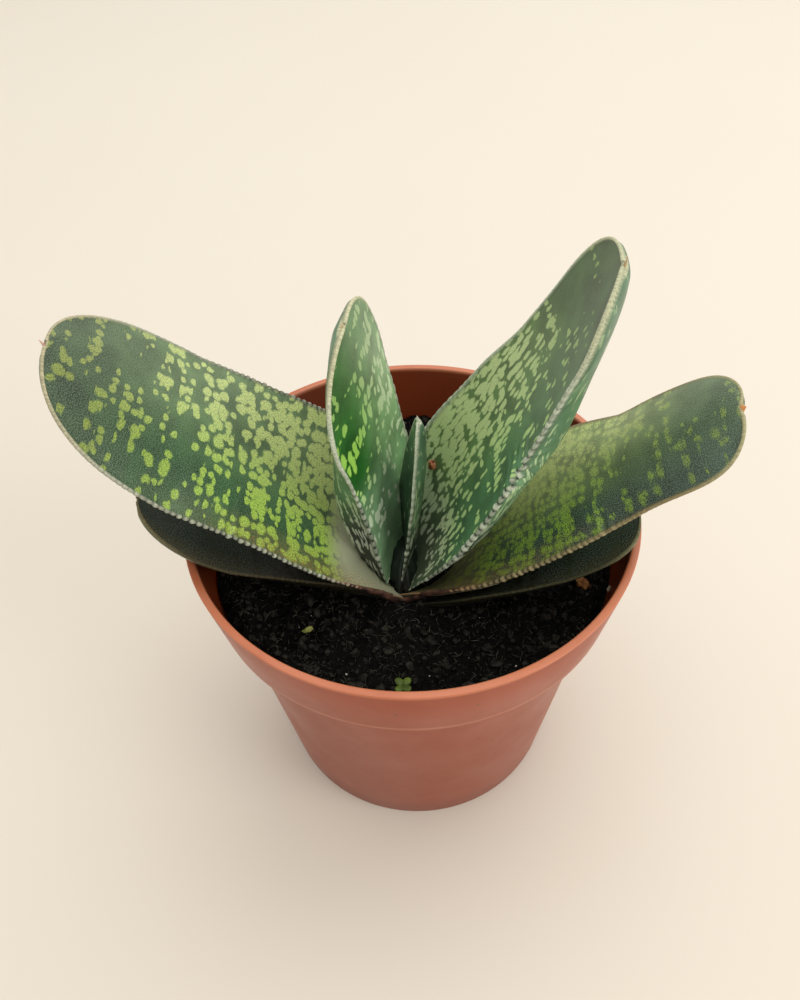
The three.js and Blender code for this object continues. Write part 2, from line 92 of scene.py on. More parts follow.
LEAVES = {
    "leaf_centre": {
        **PLAIN_LEAF, "rank": 1, "base": [-2, -3, 66.5], "length": 43, "heading": [4, 5],
        "rise": [90, 83.3, 85.6], "roll": [-6.7, 2.4, -6], "widths": [17, 15.7, 14.9, 13.3, 12],
        "blunt": 5, "gutter": [4, 6], "thick": [1.6, 2.9, 2.6], "edge": 0.8,
        "cord": [0.55, 0.6, 0.44, 0.32, 0.26], "far_cord": [0.3, 0.3], "pitch": [2.4, 1.8],
        "near": [0.7, 1, 0.8, 0.3, 0.1, 0], "far": [0.5, 0.5, 0.4, 0.2, 0],
        "fill": [0.35, 0.4, 0.45, 0.5], "fill_far": [0.3, 0.3, 0.3, 0.4],
        "point": (1.5, 0.95, 0xC4CCB4, 0xEEF0E4),
    },
    "leaf_left_upright": {
        **PLAIN_LEAF, "rank": -1, "base": [-1.2, 1.5, 66], "length": 70, "heading": [191, 234.4],
        "rise": [77.4, 82.2, 73.9], "roll": [40, 51.7, 68.1], "widths": [27.6, 25.5, 28.4, 33.5, 32.5],
        "blunt": 11, "gutter": [8, -5], "thick": [5, 6.8, 4], "edge": 1.2,
        "keel": [0.65, 0.95, 0.95, 0.55, 0.1, 0], "cord": [0.6, 0.85, 0.75, 0.5, 0.5, 0.52, 0.4],
        "far_cord": [0.3, 0.45, 0.45, 0.4], "pitch": [2.6, 2.2],
        "near": [1, 1.2, 1.2, 0.6, 0.1, 0.05, 0], "far": [0.4, 0.4, 0.4, 0.4, 0.3, 0],
        "fill": [0.25, 0.36, 0.46, 0.5, 0.44, 0.3],
        "fill_far": [0.42, 0.42, 0.36, 0.4, 0.48, 0.42, 0.3], "pale": [0.2, 0, 0, 0],
        "point": (0.9, 0.75, 0xC2BF9A, 0xC9B48C),
    },
    "leaf_right_tall": {
        **PLAIN_LEAF, "rank": 1, "base": [-0.5, 1.4, 66], "length": 94.5, "heading": [-14.8, -35.5],
        "rise": [62, 65.5, 66.5], "roll": [27.2, 31.4, 24.2], "widths": [28, 35.7, 33, 28, 34],
        "blunt": 12.5, "gutter": [17, 6], "thick": [5, 7.5, 3.5], "edge": 1.2,
        "keel": [0.1, 0.36, 0.42, 0.42, 0.55, 0.2, 0],
        "cord": [0.55, 0.74, 0.78, 0.66, 0.46, 0.42, 0.36], "far_cord": [0.35, 0.4, 0.35],
        "pitch": [2.4, 1.8], "near": [1, 1.2, 1.3, 1.2, 0.7, 0.2, 0],
        "far": [0.3, 0.35, 0.35, 0.3, 0.2, 0], "fill": [0.45, 0.5, 0.3, 0.36, 0.38, 0.32, 0.1],
        "fill_far": [0.4, 0.75, 0.85, 0.76, 0.58, 0.38, 0.2], "point": (1.9, 0.6, 0x8E5A40, 0xC9B48C),
        "wrinkle": (0.56, 0.055, 0.55),
    },
    "leaf_left_broad": {
        **PLAIN_LEAF, "rank": -1, "base": [-6.2, 2.1, 63.2], "length": 96, "heading": [195.4, 193.8],
        "rise": [60.6, 50.2, 51.3], "roll": [28.7, 27, 16], "widths": [33.5, 40, 37.6, 37.8, 36],
        "blunt": 10, "gutter": [31, -8], "thick": [5, 6, 4], "cord": [0.3, 0.45, 0.5, 0.5, 0.45, 0.42],
        "far_cord": [0.3, 0.5, 0.55, 0.5, 0.35], "pitch": [1.2, 1.5], "near": [0, 1, 1.1, 0.9, 0.3, 0],
        "far": [0.3, 1, 1.2, 1, 0.5, 0.2, 0], "fill": [1.1, 0.82, 0.6, 0.52, 0.42, 0.42],
        "fill_far": [1.1, 0.95, 0.72, 0.55, 0.45, 0.4], "dirt": [0, 0.8, 0.8, 0.25, 0, 0],
        "pale": [1, 1, 1, 0.6, 0], "point": (1.4, 0.6, 0xA87060, 0xD8B8A8),
        "wrinkle": (0.52, 0.03, 0.25),
    },
    "leaf_right_broad": {
        **PLAIN_LEAF, "rank": 1, "base": [5.7, -0.6, 60.2], "length": 88.5, "heading": [-14, -30.7],
        "rise": [51, 50.8, 41.4], "roll": [9, 25, 35], "widths": [33.5, 35, 29.5, 24.5, 28],
        "blunt": 11, "gutter": [37, -18], "thick": [5, 6, 4], "cord": [0.3, 0.62, 0.7, 0.6, 0.5, 0.45],
        "far_cord": [0.3, 0.35, 0.35], "pitch": [1.5, 1.2], "near": [0, 0.9, 0.9, 0.4, 0.1, 0],
        "far": [0.2, 0.3, 0.3, 0.2, 0.1, 0], "fill": [0.55, 0.66, 0.68, 0.68, 0.5, 0.3, 0.36],
        "fill_far": [0.9, 0.98, 0.96, 0.86, 0.58, 0.46, 0.4], "dirt": [0.1, 0.8, 0.6, 0.2, 0, 0],
        "pale": [0.9, 0.2, 0, 0, 0], "notch": 0.5, "point": (0.6, 0.85, 0xB06A30, 0xD09A5A),
        "wrinkle": (0.6, 0.03, 0.25),
    },
    "leaf_left_low": {
        **PLAIN_LEAF, "rank": -1, "base": [-9.5, -0.5, 59.5], "length": 62, "heading": [185, 195.5],
        "rise": [43, 35.5, 31.5], "roll": [4, 7.5, 9], "widths": [33, 31.5, 31, 31, 29], "blunt": 7,
        "gutter": [34, 2], "thick": [4.5, 5, 3], "near": [0.2, 0.5, 0.4, 0.2, 0],
        "far": [0.2, 0.5, 0.4, 0.2, 0], "dirt": [0, 0.1, 0.3],
    },
    "leaf_right_low": {
        **PLAIN_LEAF, "rank": 1, "base": [8.5, -3.5, 60], "length": 51.5, "heading": [-21, -4],
        "rise": [44, 36, 25], "roll": [9.5, 7, 5], "widths": [32, 30, 27.5, 25.5, 26.5], "blunt": 9,
        "gutter": [32, 2], "thick": [4.5, 5, 3], "near": [0.2, 0.4, 0.3, 0.1, 0],
        "far": [0.2, 0.4, 0.3, 0.1, 0], "dirt": [0, 0.1, 0.2],
    },
}

# What all leaves have in common; shares of the length run from 0 at the foot to 1 at the tip.
BLADE = {
    "rim_turn": 112,  # how far round, in degrees from straight outwards, its cord shows
    "sunk": 0.55,  # depth of the cord's middle under the face, in radii
    "most_cord": 0.5,  # the largest share of half the width that the cord takes
    "gap": 0.84,  # how much thinner the cord is between beads
    "cup": 1.35,  # how much a bead swells towards the tip, 1 for a ball
    "apart": 1.16,  # distance from bead to bead, in lengths of a bead
    "smallest": 0.75,  # height of the smallest bead, as a share of the tallest
    "stray": (0.4, 5),  # how far beads stray from an even row, and in how long waves, in beads
    "hem": (0.4, 0.25),  # how thin the margin is at the foot, and the share where it is whole
    "opened": 2 / 3,  # share of the length at which the channel has the tip's angle
    "tuck": (0.45, 0.13),  # how narrow the far half is at the foot, and the share where it is whole
    "keel_column": 0.38268,  # place, on an even back, of the column that runs along the keel
    "fullness": 1.5,  # exponent of the back's slope from the keel to the margins
    "tip_share": 0.02,  # what is left of the width at the tip
    "wave": (0.35, 11),  # how far the face rises and sinks towards the margins, and how long
    "fold": 2.9,  # from fold to fold where the margin is wrinkled
    "folded": (0.5, 1),  # places across the leaf where the folds begin and are full
    "notched": (0.93, 2.2),  # share of the length where the tip's notch begins, and its half width
    "scurfy": (0.6, 0.98),  # places across the leaf where the scurf begins and is full
    "bleached": (0.18, 0.27),  # shares of the length where the bleached foot fades and ends
    "tip_cord": (0.08, 0.2),  # what the rounding leaves where the tip is all horn, and where none is
    "tip_tone": (0.8, 0.97),  # shares of the length where the tip's cord colour begins and is full
    "fill_back": [0.52, 0.52, 0.5, 0.44, 0.4, 0.4],  # how much of the back is streaked
}

LAYERS = ("place", "rim", "marks")  # what the skin reads at every vertex, as leaf_mesh says
BACK = 200  # what is added to distances across the back, so that its pattern is its own
FACE_COLUMNS = 20
RIM_COLUMNS = 9
COLUMNS = 2 * (FACE_COLUMNS + RIM_COLUMNS)
RING_STEP = 0.2
CUTTER_STEP = 1.5
FINE_STEPS = 3000  # steps in which a margin is measured, and how much closer they are at the tip
CROWDED = 2.5
CLASP = 0.05  # gap that an older leaf keeps where it clasps a younger one
SPOT_LAYERS = [(1, 0), (0.8, 31.7), (1.25, 67.3)]  # size, and how far the pattern is shifted

# The skins, each colour as a pair for the ground and the spots:
#   near, far, foot, tip  colours towards the near margin, towards the far one, near the foot and
#                    near the tip; footed  where the foot's begin and are full
#   size             of the spots, across, in mm; stretch  how much longer they are
#   ragged           how crumbled their edges are; bands  how far crosswise bands gather them
#   blur             how softly they end
#   grain            how plainly the papillae show; gloss  of the cuticle
#   cord             colours of the margin: between the beads, on them and round the tip
#   hem              what the margin is at the foot, or None; sheath  colour of the bleached foot
#   behind           what the back of such a leaf has instead of the plain one's
PLAIN_SKIN = {
    "stretch": 1, "ragged": 0.2, "bands": 0.3, "blur": 0.12, "hem": None, "gloss": 0.5, "behind": {},
}
# The low leaves lie under the others and are painted near black, faces, backs, feet, hem and sheath alike,
# with little gloss: painted shade.
SHADED_LOW_SKIN = {
    "foot": (0x060706, 0x0C0D0A), "footed": (0.7, 0.4),
    "behind": {"foot": (0x050605, 0x0A0B09), "near": (0x10140F, 0x2A3028), "far": (0x10140F, 0x2A3028)},
    "gloss": 0.15, "size": 3, "stretch": 1, "ragged": 1, "bands": 0.8, "blur": 0.3, "hem": 0x0C0B09,
    "sheath": 0x0C0B09,
}
SKINS = {
    "leaf_centre": {
        **PLAIN_SKIN, "near": (0x203C24, 0xA0BC9C), "far": (0x244630, 0x86A680),
        "foot": (0x1C2A20, 0xA0AE98), "tip": (0x58785A, 0xC4D8BC), "footed": (0.42, 0.12), "size": 1.5,
        "stretch": 3, "blur": 0.1, "grain": 0.4, "cord": (0x283428, 0xC8D6BC, 0xDCE4CC),
        "sheath": 0x3C4034,
    },
    # Its far half and its foot are painted pale: partly their own paler green, partly painted light where
    # they turn from the lamps.
    "leaf_left_upright": {
        **PLAIN_SKIN, "near": (0x1A6016, 0xAAE264), "far": (0x98C68C, 0xE2FAD0),
        "foot": (0x90C08E, 0xECFFE0), "tip": (0x3A6632, 0x9CBA78), "footed": (0.55, 0.32), "size": 2.3,
        "stretch": 2.2, "ragged": 0.15, "bands": 0.5, "blur": 0.1, "grain": 0.35,
        "cord": (0x26332A, 0xD2DEC6, 0xCCCCA8), "sheath": 0x6C705C,
    },
    "leaf_right_tall": {
        **PLAIN_SKIN, "near": (0x44704A, 0xB8DA90), "far": (0x567540, 0xBFD498),
        "foot": (0x586A50, 0xDEF0CC), "tip": (0x34492F, 0x80A052), "footed": (0.3, 0.08), "size": 1.65,
        "stretch": 2.9, "bands": 0.35, "grain": 0.45, "cord": (0x26332A, 0xD2DEC6, 0xC4C8A6),
        "sheath": 0x3C4034,
    },
    "leaf_left_broad": {
        **PLAIN_SKIN, "near": (0x264C26, 0xA2C454), "far": (0x607A52, 0xD2E494),
        "foot": (0x40622A, 0xBCCB7C), "tip": (0x2C3C26, 0x868F40), "footed": (0.27, 0.1), "size": 2.8,
        "ragged": 0.22, "bands": 0.5, "grain": 1, "cord": (0x333B30, 0xB4B8A4, 0xB4AE8E),
        "hem": 0x966E54, "sheath": 0xA9AE94,
    },
    "leaf_right_broad": {
        **PLAIN_SKIN, "near": (0x18382A, 0x88B03E), "far": (0x93AA6A, 0xD4E494),
        "foot": (0x24381C, 0x8CAA46), "tip": (0x42564A, 0x90A650), "footed": (0.42, 0.12), "size": 2.5,
        "ragged": 1.1, "bands": 0.62, "blur": 0.3, "grain": 1.25,
        "cord": (0x3A3620, 0x9C9068, 0xA8A67E), "hem": 0x96684A, "sheath": 0x807A5C,
    },
    # The two low leaves, near black: painted shade.
    "leaf_left_low": {
        **SHADED_LOW_SKIN, "near": (0x161B16, 0x24281D), "far": (0x161B16, 0x22261D),
        "tip": (0x2A302A, 0x363A2E), "grain": 0.7, "cord": (0x28261C, 0x504A36, 0x7A7254),
    },
    "leaf_right_low": {
        **SHADED_LOW_SKIN, "near": (0x161E18, 0x283020), "far": (0x161E18, 0x283020),
        "tip": (0x222C22, 0x363E2E), "grain": 0.9, "cord": (0x26261C, 0x44442F, 0x6C6A4C),
    },
    "back": {
        **PLAIN_SKIN, "near": (0x5C8460, 0xB4CC9C), "far": (0x3E5A42, 0x92AA80),
        "foot": (0x1C221C, 0xC4CCBC), "tip": (0x507058, 0x98B080), "footed": (0.48, 0.25), "size": 0.85,
        "stretch": 8, "ragged": 0.3, "grain": 0.3, "sheath": 0x6C705C,
    },
}

# ---------------------------------------------------------------- settings a user would change


class GasteriaPot(bpy.types.PropertyGroup):
    """Sizes and colour of the pot."""

    colour: bpy.props.FloatVectorProperty(
        name="Colour", description="Colour of the moulded plastic", subtype="COLOR", size=4, min=0, max=1,
        default=linear(0x9B4119),
    )
    rounding: bpy.props.FloatProperty(
        name="Rounding", description="Radius of the pot's edges", unit="LENGTH", default=0.4 * MM
    )
    steps: bpy.props.IntProperty(name="Steps", description="Faces round the pot", default=168, min=24)


class GasteriaLeaves(bpy.types.PropertyGroup):
    """Beads of the margins and spots of the skin."""

    bead_pitch: bpy.props.FloatProperty(
        name="Bead pitch", description="Distance from bead to bead along a margin, 1 as grown", default=1,
        min=0.1,
    )
    bead_size: bpy.props.FloatProperty(
        name="Bead size", description="Thickness of the horny cord and its beads, 1 as grown", default=1,
        min=0.1,
    )
    spots: bpy.props.FloatProperty(
        name="Spots", description="How much of the skin is spotted, 1 as grown", default=1, min=0
    )


class GasteriaSoil(bpy.types.PropertyGroup):
    """Grain and colour of the peat."""

    colour: bpy.props.FloatVectorProperty(
        name="Colour", description="Colour of the moist peat", subtype="COLOR", size=4, min=0, max=1,
        default=linear(0x0D0C0B),
    )
    crumbs: bpy.props.IntProperty(
        name="Crumbs", description="Loose crumbs on the surface", default=3000, min=0
    )
    fibres: bpy.props.IntProperty(
        name="Fibres", description="Fine fibres on the surface", default=3600, min=0
    )
    specks: bpy.props.IntProperty(
        name="Specks", description="Pale grains of sand on the surface", default=45, min=0
    )


class GasteriaStage(bpy.types.PropertyGroup):
    """Floor, lights and camera."""

    floor: bpy.props.FloatVectorProperty(
        name="Floor", description="Colour of the floor", subtype="COLOR", size=4, min=0, max=1,
        default=linear(0xDBD6CD),
    )
    lens: bpy.props.FloatProperty(
        name="Lens", description="Focal length, in millimetres", default=30.6, min=1
    )
    camera: bpy.props.FloatVectorProperty(
        name="Camera", description="Where the camera stands", subtype="TRANSLATION", unit="LENGTH",
        size=3, default=(0, -0.13803, 0.22468),
    )
    aim: bpy.props.FloatVectorProperty(
        name="Aim", description="What the camera looks at", subtype="TRANSLATION", unit="LENGTH",
        size=3, default=(-0.00249, 0, 0.08334),
    )
    tilt: bpy.props.FloatProperty(
        name="Tilt", description="How far the camera is rolled about its view", subtype="ANGLE",
        default=-0.0467,
    )


# ---------------------------------------------------------------- small helpers


def smooth(values, t):
    """Value at t in 0..1 on the smooth curve through equally spaced values."""
    spans = len(values) - 1
    place = min(max(t, 0), 1) * spans
    i = min(int(place), spans - 1)
    w = place - i
    ends = [2 * values[0] - values[1], *values, 2 * values[-1] - values[-2]]
    before, here, there, after = ends[i : i + 4]
    leave = (there - before) / 2
    arrive = (after - here) / 2
    cube = 2 * here - 2 * there + leave + arrive
    square = -3 * here + 3 * there - 2 * leave - arrive
    return ((cube * w + square) * w + leave) * w + here


def parabola(values, t):
    """Value at t on the parabola through three values at 0, one half and 1."""
    a, b, c = values
    return a * (1 - t) * (1 - 2 * t) + 4 * b * t * (1 - t) + c * t * (2 * t - 1)


def lerp(a, b, t):
    return a + (b - a) * t


def step_up(low, high, x):
    """0 below low, 1 above high and smooth between."""
    t = min(max((x - low) / (high - low), 0), 1)
    return t * t * (3 - 2 * t)


def chance(*places):
    """Repeatable number from 0 to 1 for a place; its numbers only keep clear of the cells' walls."""
    return noise.cell(Vector((places * 3)[:3]) * 7.31 + Vector((0.37, 0.11, 0.73)))


def cut_across(bm, cuts):
    """Cuts upright rods of height 1 across at even steps, and leaves what has been cut before."""
    upright = [e for e in bm.edges if abs(e.verts[0].co.z - e.verts[1].co.z) > 0.5]
    bmesh.ops.subdivide_edges(bm, edges=upright, cuts=cuts)


def face_outwards(bm):
    """Turns the faces of closed shells outwards, also where vertices have just been moved."""
    bm.normal_update()
    bmesh.ops.recalc_face_normals(bm, faces=bm.faces)


def new_object(bm, name):
    """Turns a bmesh into an object at the origin."""
    mesh = bpy.data.meshes.new(name)
    bm.to_mesh(mesh)
    bm.free()
    made = bpy.data.objects.new(name, mesh)
    bpy.context.scene.collection.objects.link(made)
    return made


def finish_piece(bm, name, materials, smooth_faces=True):
    """Turns a bmesh into a piece that rides on the body."""
    piece = new_object(bm, name)
    for material in materials:
        piece.data.materials.append(material)
    if smooth_faces:
        piece.data.shade_smooth()
    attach(piece, BODY)
    return piece


def cut_away(piece, cutters, solver):
    """Cuts the room that other objects take out of a piece's mesh."""
    for cutter in cutters:
        cut = piece.modifiers.new("cut", "BOOLEAN")
        cut.operation = "DIFFERENCE"
        cut.solver = solver
        cut.object = cutter
    evaluated = piece.evaluated_get(bpy.context.evaluated_depsgraph_get())
    piece.data = bpy.data.meshes.new_from_object(evaluated)
    piece.modifiers.clear()


# ---------------------------------------------------------------- materials

FLAT = {"noise_dimensions": "2D"}
CELLS = {"voronoi_dimensions": "2D"}
SOFT = {"interpolation_type": "SMOOTHSTEP"}
BLEND = {"data_type": "RGBA"}
PLUS = {"operation": "ADD"}
MINUS = {"operation": "SUBTRACT"}
TIMES = {"operation": "MULTIPLY"}
TIMES_PLUS = {"operation": "MULTIPLY_ADD"}


def plug(tree, node, *inputs, **named):
    """Puts values, sockets or other nodes on a node's inputs in use, in order or by name."""
    sockets = [s for s in node.inputs if s.enabled]
    given = list(zip(sockets, inputs))
    for name, value in named.items():
        given.append((next(s for s in sockets if s.name == name.replace("_", " ")), value))
    for socket, value in given:
        if isinstance(value, bpy.types.Node):
            value = next(s for s in value.outputs if s.enabled)
        if isinstance(value, bpy.types.NodeSocket):
            tree.links.new(value, socket)
        else:
            socket.default_value = value


def add(tree, kind, settings, *inputs, **named):
    """A shader node with its settings and inputs."""
    made = tree.nodes.new("ShaderNode" + kind)
    for name, value in settings.items():
        setattr(made, name, value)
    plug(tree, made, *inputs, **named)
    return made


def new_material(name, **surface):
    """An empty material with its Principled shader, whose sockets take the given values."""
    material = bpy.data.materials.new(name)
    material.use_nodes = True
    shader = material.node_tree.nodes["Principled BSDF"]
    plug(material.node_tree, shader, **surface)
    return material, material.node_tree, shader


def leaf_skin(name, skin, middle=0):
    """Waxy cuticle over green flesh, spotted, with a horny cord along the margins.

    The cuticle's papillae give it a fine grain and a soft, broad sheen; the margin's dead horny
    tissue is paler and duller. "middle" is where the pattern's crosswise distances are 0. The
    pattern's distances are in millimetres, so its scales count waves or cells in one.
    """
    material, tree, shader = new_material(name, IOR=1.46, Specular_IOR_Level=skin["gloss"])
    layers = [add(tree, "Attribute", {"attribute_name": layer}).outputs["Vector"] for layer in LAYERS]
    spread, rim, marks = [add(tree, "SeparateXYZ", {}, layer).outputs for layer in layers]
    place = layers[0]
    across, share = spread["X"], spread["Z"]

    # Spots: round cells of the skin that hold less green, more and larger where "fill" is high,
    # in layers that grow into one another. They drift in waves of 3 mm, their edges crumble in
    # ones of 0.4 mm, and bands of them cross the leaf every 3 mm.
    grain = add(tree, "TexNoise", FLAT, place, 2.6, 3)
    drift = add(tree, "TexNoise", FLAT, place, 0.33, 2)
    drifted = add(tree, "VectorMath", TIMES_PLUS, drift.outputs["Color"], (0.8, 0.8, 0), place)
    banded = add(tree, "Mapping", {}, drifted, Scale=(0.07, 0.33, 1))
    bands = add(tree, "TexNoise", FLAT, banded, 1, 1)
    gathered = add(tree, "Math", TIMES_PLUS, bands, 2 * skin["bands"], -skin["bands"])
    local = add(tree, "Math", PLUS, gathered, marks["X"])
    inward = None
    for scale, shift in SPOT_LAYERS:
        size = skin["size"] * scale
        cells = (1 / size, 1 / (size * skin["stretch"]), 1)
        seat = add(tree, "Mapping", {}, drifted, Location=(shift, 2.7 * shift, 0), Scale=cells)
        cell = add(tree, "TexVoronoi", CELLS, seat, 1, Randomness=0.6)
        luck = add(tree, "SeparateColor", {}, cell.outputs["Color"])
        likely = add(tree, "Math", TIMES_PLUS, luck, 0.5, local)
        radius = add(tree, "MapRange", SOFT, likely, 0.78, 0.86, -0.1, 0.35)
        wider = add(tree, "MapRange", {}, likely, 0.9, 1.5, 0, 0.16)
        radius = add(tree, "Math", PLUS, radius, wider)
        reach = add(tree, "Math", MINUS, radius, cell.outputs["Distance"])
        if inward:
            reach = add(tree, "Math", {"operation": "SMOOTH_MAX"}, inward, reach, 0.12)
        inward = reach
    crumbled = add(tree, "Math", TIMES_PLUS, grain, 0.6 * skin["ragged"], -0.3 * skin["ragged"])
    inward = add(tree, "Math", PLUS, inward, crumbled)
    spot = add(tree, "MapRange", SOFT, inward, -0.4 * skin["blur"], skin["blur"])
    fading = add(tree, "MapRange", {}, share, 0.5, 1, 1, 0.75)
    spot = add(tree, "Math", TIMES, spot, fading)

    # The colours of the ground and of the spots across and along the leaf, the ground in clouds
    # of 7 mm.
    nearness = add(tree, "MapRange", SOFT, across, middle - 11, middle + 11)
    footing = add(tree, "MapRange", SOFT, share, *skin["footed"])
    tipping = add(tree, "MapRange", SOFT, share, 0.6, 0.95, 0, 0.75)
    tones = []
    for i in range(2):
        far, near, tip, foot = [linear(skin[part][i]) for part in ("far", "near", "tip", "foot")]
        tone = add(tree, "Mix", BLEND, nearness, far, near)
        tone = add(tree, "Mix", BLEND, tipping, tone, tip)
        tones.append(add(tree, "Mix", BLEND, footing, tone, foot))
    ground, light = tones
    patch = add(tree, "TexNoise", FLAT, place, 0.14, 3)
    patchy = add(tree, "MapRange", {}, patch, 0.3, 0.7, 0.72, 1.3)
    ground = add(tree, "VectorMath", {"operation": "SCALE"}, ground, Scale=patchy)

    # The papillae, three to a millimetre: pale points on the ground, dark between them on the spots.
    papillae = add(tree, "TexVoronoi", CELLS, place, 2.9, Randomness=0.9)
    points = add(tree, "MapRange", SOFT, papillae, 0.4, 0.1, 0, 0.28 * skin["grain"])
    ground = add(tree, "Mix", BLEND, points, ground, linear(0x9DB3A4))
    between = add(tree, "MapRange", SOFT, papillae, 0.2, 0.6, 0, 0.5 * skin["grain"])
    light = add(tree, "Mix", BLEND, between, light, ground)
    colour = add(tree, "Mix", BLEND, spot, ground, light)

    # Bleached sheath and brown scurf.
    bleached = add(tree, "Mix", BLEND, marks["Y"], colour, linear(skin["sheath"]))
    flaky = add(tree, "MapRange", SOFT, grain, 0.43, 0.55)
    scurf = add(tree, "Math", TIMES, flaky, marks["Z"])
    colour = add(tree, "Mix", BLEND, scurf, bleached, linear(0x7C6438))
    if middle:
        # A pale line runs along the keel.
        line = add(tree, "Math", {"operation": "COMPARE"}, across, middle, 0.2)
        low = add(tree, "MapRange", SOFT, share, 0.75, 0.5, 0, 0.8)
        line = add(tree, "Math", TIMES, line, low)
        colour = add(tree, "Mix", BLEND, line, colour, linear(0xB4C0A8))

    # The horny cord, whose beads are the palest.
    dark, bead, tip = [linear(code) for code in skin["cord"]]
    cord = add(tree, "Mix", BLEND, rim["Y"], dark, bead)
    cord = add(tree, "Mix", BLEND, rim["Z"], cord, tip)
    mottled = add(tree, "MapRange", {}, grain, 0.35, 0.65, 0.4, 0)
    cord = add(tree, "Mix", BLEND, mottled, cord, dark)
    if skin["hem"] is not None:
        hemmed = add(tree, "MapRange", SOFT, share, 0.3, 0.14, 0, 0.9)
        cord = add(tree, "Mix", BLEND, hemmed, cord, linear(skin["hem"]))
    colour = add(tree, "Mix", BLEND, rim["X"], colour, cord)

    roughness = add(tree, "MapRange", {}, rim["X"], 0, 1, 0.4, 0.6)
    height = add(tree, "Math", TIMES_PLUS, papillae, -0.6, grain)
    bump = add(tree, "Bump", {}, Height=height, Strength=0.5, Distance=0.09 * MM)
    plug(tree, shader, Base_Color=colour, Roughness=roughness, Normal=bump)
    return material


def pot_plastic(name, colour):
    """Moulded polypropylene: satin, with faint scuffs and a few specks of dirt."""
    material, tree, shader = new_material(name, IOR=1.49)
    spot = add(tree, "TexCoord", {}).outputs["Object"]
    cloud = add(tree, "TexNoise", {}, spot, 60, 4)  # clouds of 17 mm
    duller = tuple(0.8 * c for c in colour[:3]) + (1,)
    tone = add(tree, "Mix", BLEND, cloud, tuple(colour), duller)
    # Scuffs run round the pot, so their pattern is drawn out in the plane, to 25 mm, and is short
    # in height, 0.7 mm.
    drawn = add(tree, "Mapping", {}, spot, Scale=(40, 40, 1400))
    scuff = add(tree, "TexNoise", {}, drawn, 1, 3)
    scuffed = add(tree, "MapRange", SOFT, scuff, 0.62, 0.75, 0, 0.25)
    tone = add(tree, "Mix", BLEND, scuffed, tone, linear(0x8A4A30))
    # Specks of dirt lie 8 mm apart and are under 1 mm across.
    dirt = add(tree, "TexVoronoi", {}, spot, 130)
    specks = add(tree, "MapRange", SOFT, dirt, 0.06, 0.03)
    tone = add(tree, "Mix", BLEND, specks, tone, linear(0x3B241A))
    # Painted shade darkens the body below the collar, a painted shadow lies under the collar, painted
    # highlights lie on the collar's lower edge and on the rim, and the foot is darker. Scuffs break them
    # all.
    level = add(tree, "SeparateXYZ", {}, spot).outputs["Z"]
    broken = add(tree, "MapRange", {}, scuff, 0.3, 0.5, 0.5, 1)
    for height, reach, strength, code in POT["bands"]:
        apart = add(tree, "Math", MINUS, level, height * MM)
        apart = add(tree, "Math", {"operation": "ABSOLUTE"}, apart)
        band = add(tree, "MapRange", SOFT, apart, reach * MM, 0.3 * reach * MM, 0, strength)
        band = add(tree, "Math", TIMES, band, broken)
        tone = add(tree, "Mix", BLEND, band, tone, linear(code))
    gloss = add(tree, "MapRange", {}, cloud, 0.3, 0.7, 0.3, 0.42)
    skin = add(tree, "TexNoise", {}, spot, 900, 2)  # the mould's texture, 1 mm
    bump = add(tree, "Bump", {}, Height=skin, Strength=0.15, Distance=0.05 * MM)
    plug(tree, shader, Base_Color=tone, Roughness=gloss, Normal=bump)
    return material


def loose_matter(name, dark, light, grain_mm, roughness=0.95, gloss=0.5):
    """Dry plant matter or peat: dull and fibrous, each crumb of its own tone."""
    material, tree, shader = new_material(name, Roughness=roughness, IOR=1.4, Specular_IOR_Level=gloss)
    spot = add(tree, "TexCoord", {}).outputs["Object"]
    cloud = add(tree, "TexNoise", {}, spot, 1 / (grain_mm * MM), 4)
    contrast = add(tree, "MapRange", {}, cloud, 0.35, 0.7)
    tone = add(tree, "Mix", BLEND, contrast, dark, light)
    bump = add(tree, "Bump", {}, Height=cloud, Strength=0.6, Distance=0.2 * MM)
    plug(tree, shader, Base_Color=tone, Normal=bump)
    return material


# ---------------------------------------------------------------- leaves


def width_at(leaf, u):
    """Half the width at a share of the length, and how much the tip's rounding leaves of it."""
    rounding = math.sqrt(max(0, 1 - u ** leaf["blunt"]))
    return smooth(leaf["widths"], u) / 2 * rounding, rounding


def gutter_at(leaf, u):
    """Angle in radians at which the channel's halves rise at a share of the length."""
    return math.radians(lerp(*leaf["gutter"], min(1, u / BLADE["opened"])))


def ring_shares(leaf, step):
    """Shares of the length that lie evenly along the margin, and the distance of each along it."""
    fine = [1 - (1 - i / FINE_STEPS) ** CROWDED for i in range(FINE_STEPS + 1)]
    distance = [0]
    for before, u in zip(fine, fine[1:]):
        outward = width_at(leaf, u)[0] - width_at(leaf, before)[0]
        distance.append(distance[-1] + math.hypot((u - before) * leaf["length"], outward))
    count = math.ceil(distance[-1] / step)
    places = [distance[-1] * ring / count for ring in range(count + 1)]
    shares = []
    for at in places:
        i = min(bisect_right(distance, at), len(fine) - 1)
        part = (at - distance[i - 1]) / (distance[i] - distance[i - 1])
        shares.append(lerp(fine[i - 1], fine[i], min(part, 1)))
    return shares, places


def midline(leaf, shares):
    """At each share: the midline's point, the directions along and across, and the face's normal."""
    frames = []
    point = Vector(leaf["base"])
    before = None
    for u in shares:
        heading = math.radians(lerp(*leaf["heading"], u))
        rise = math.radians(parabola(leaf["rise"], u))
        roll = math.radians(parabola(leaf["roll"], u))
        level_part = math.cos(rise)
        along = Vector((level_part * math.cos(heading), level_part * math.sin(heading), math.sin(rise)))
        level = Vector((math.sin(heading), -math.cos(heading), 0)) * leaf["rank"]
        upright = level.cross(along) * leaf["rank"]
        across = level * math.cos(roll) - upright * math.sin(roll)
        normal = level * math.sin(roll) + upright * math.cos(roll)
        if before:
            point = point + (along + before[1]) / 2 * ((u - before[0]) * leaf["length"])
        before = (u, along)
        frames.append((point, along, across, normal))
    return frames


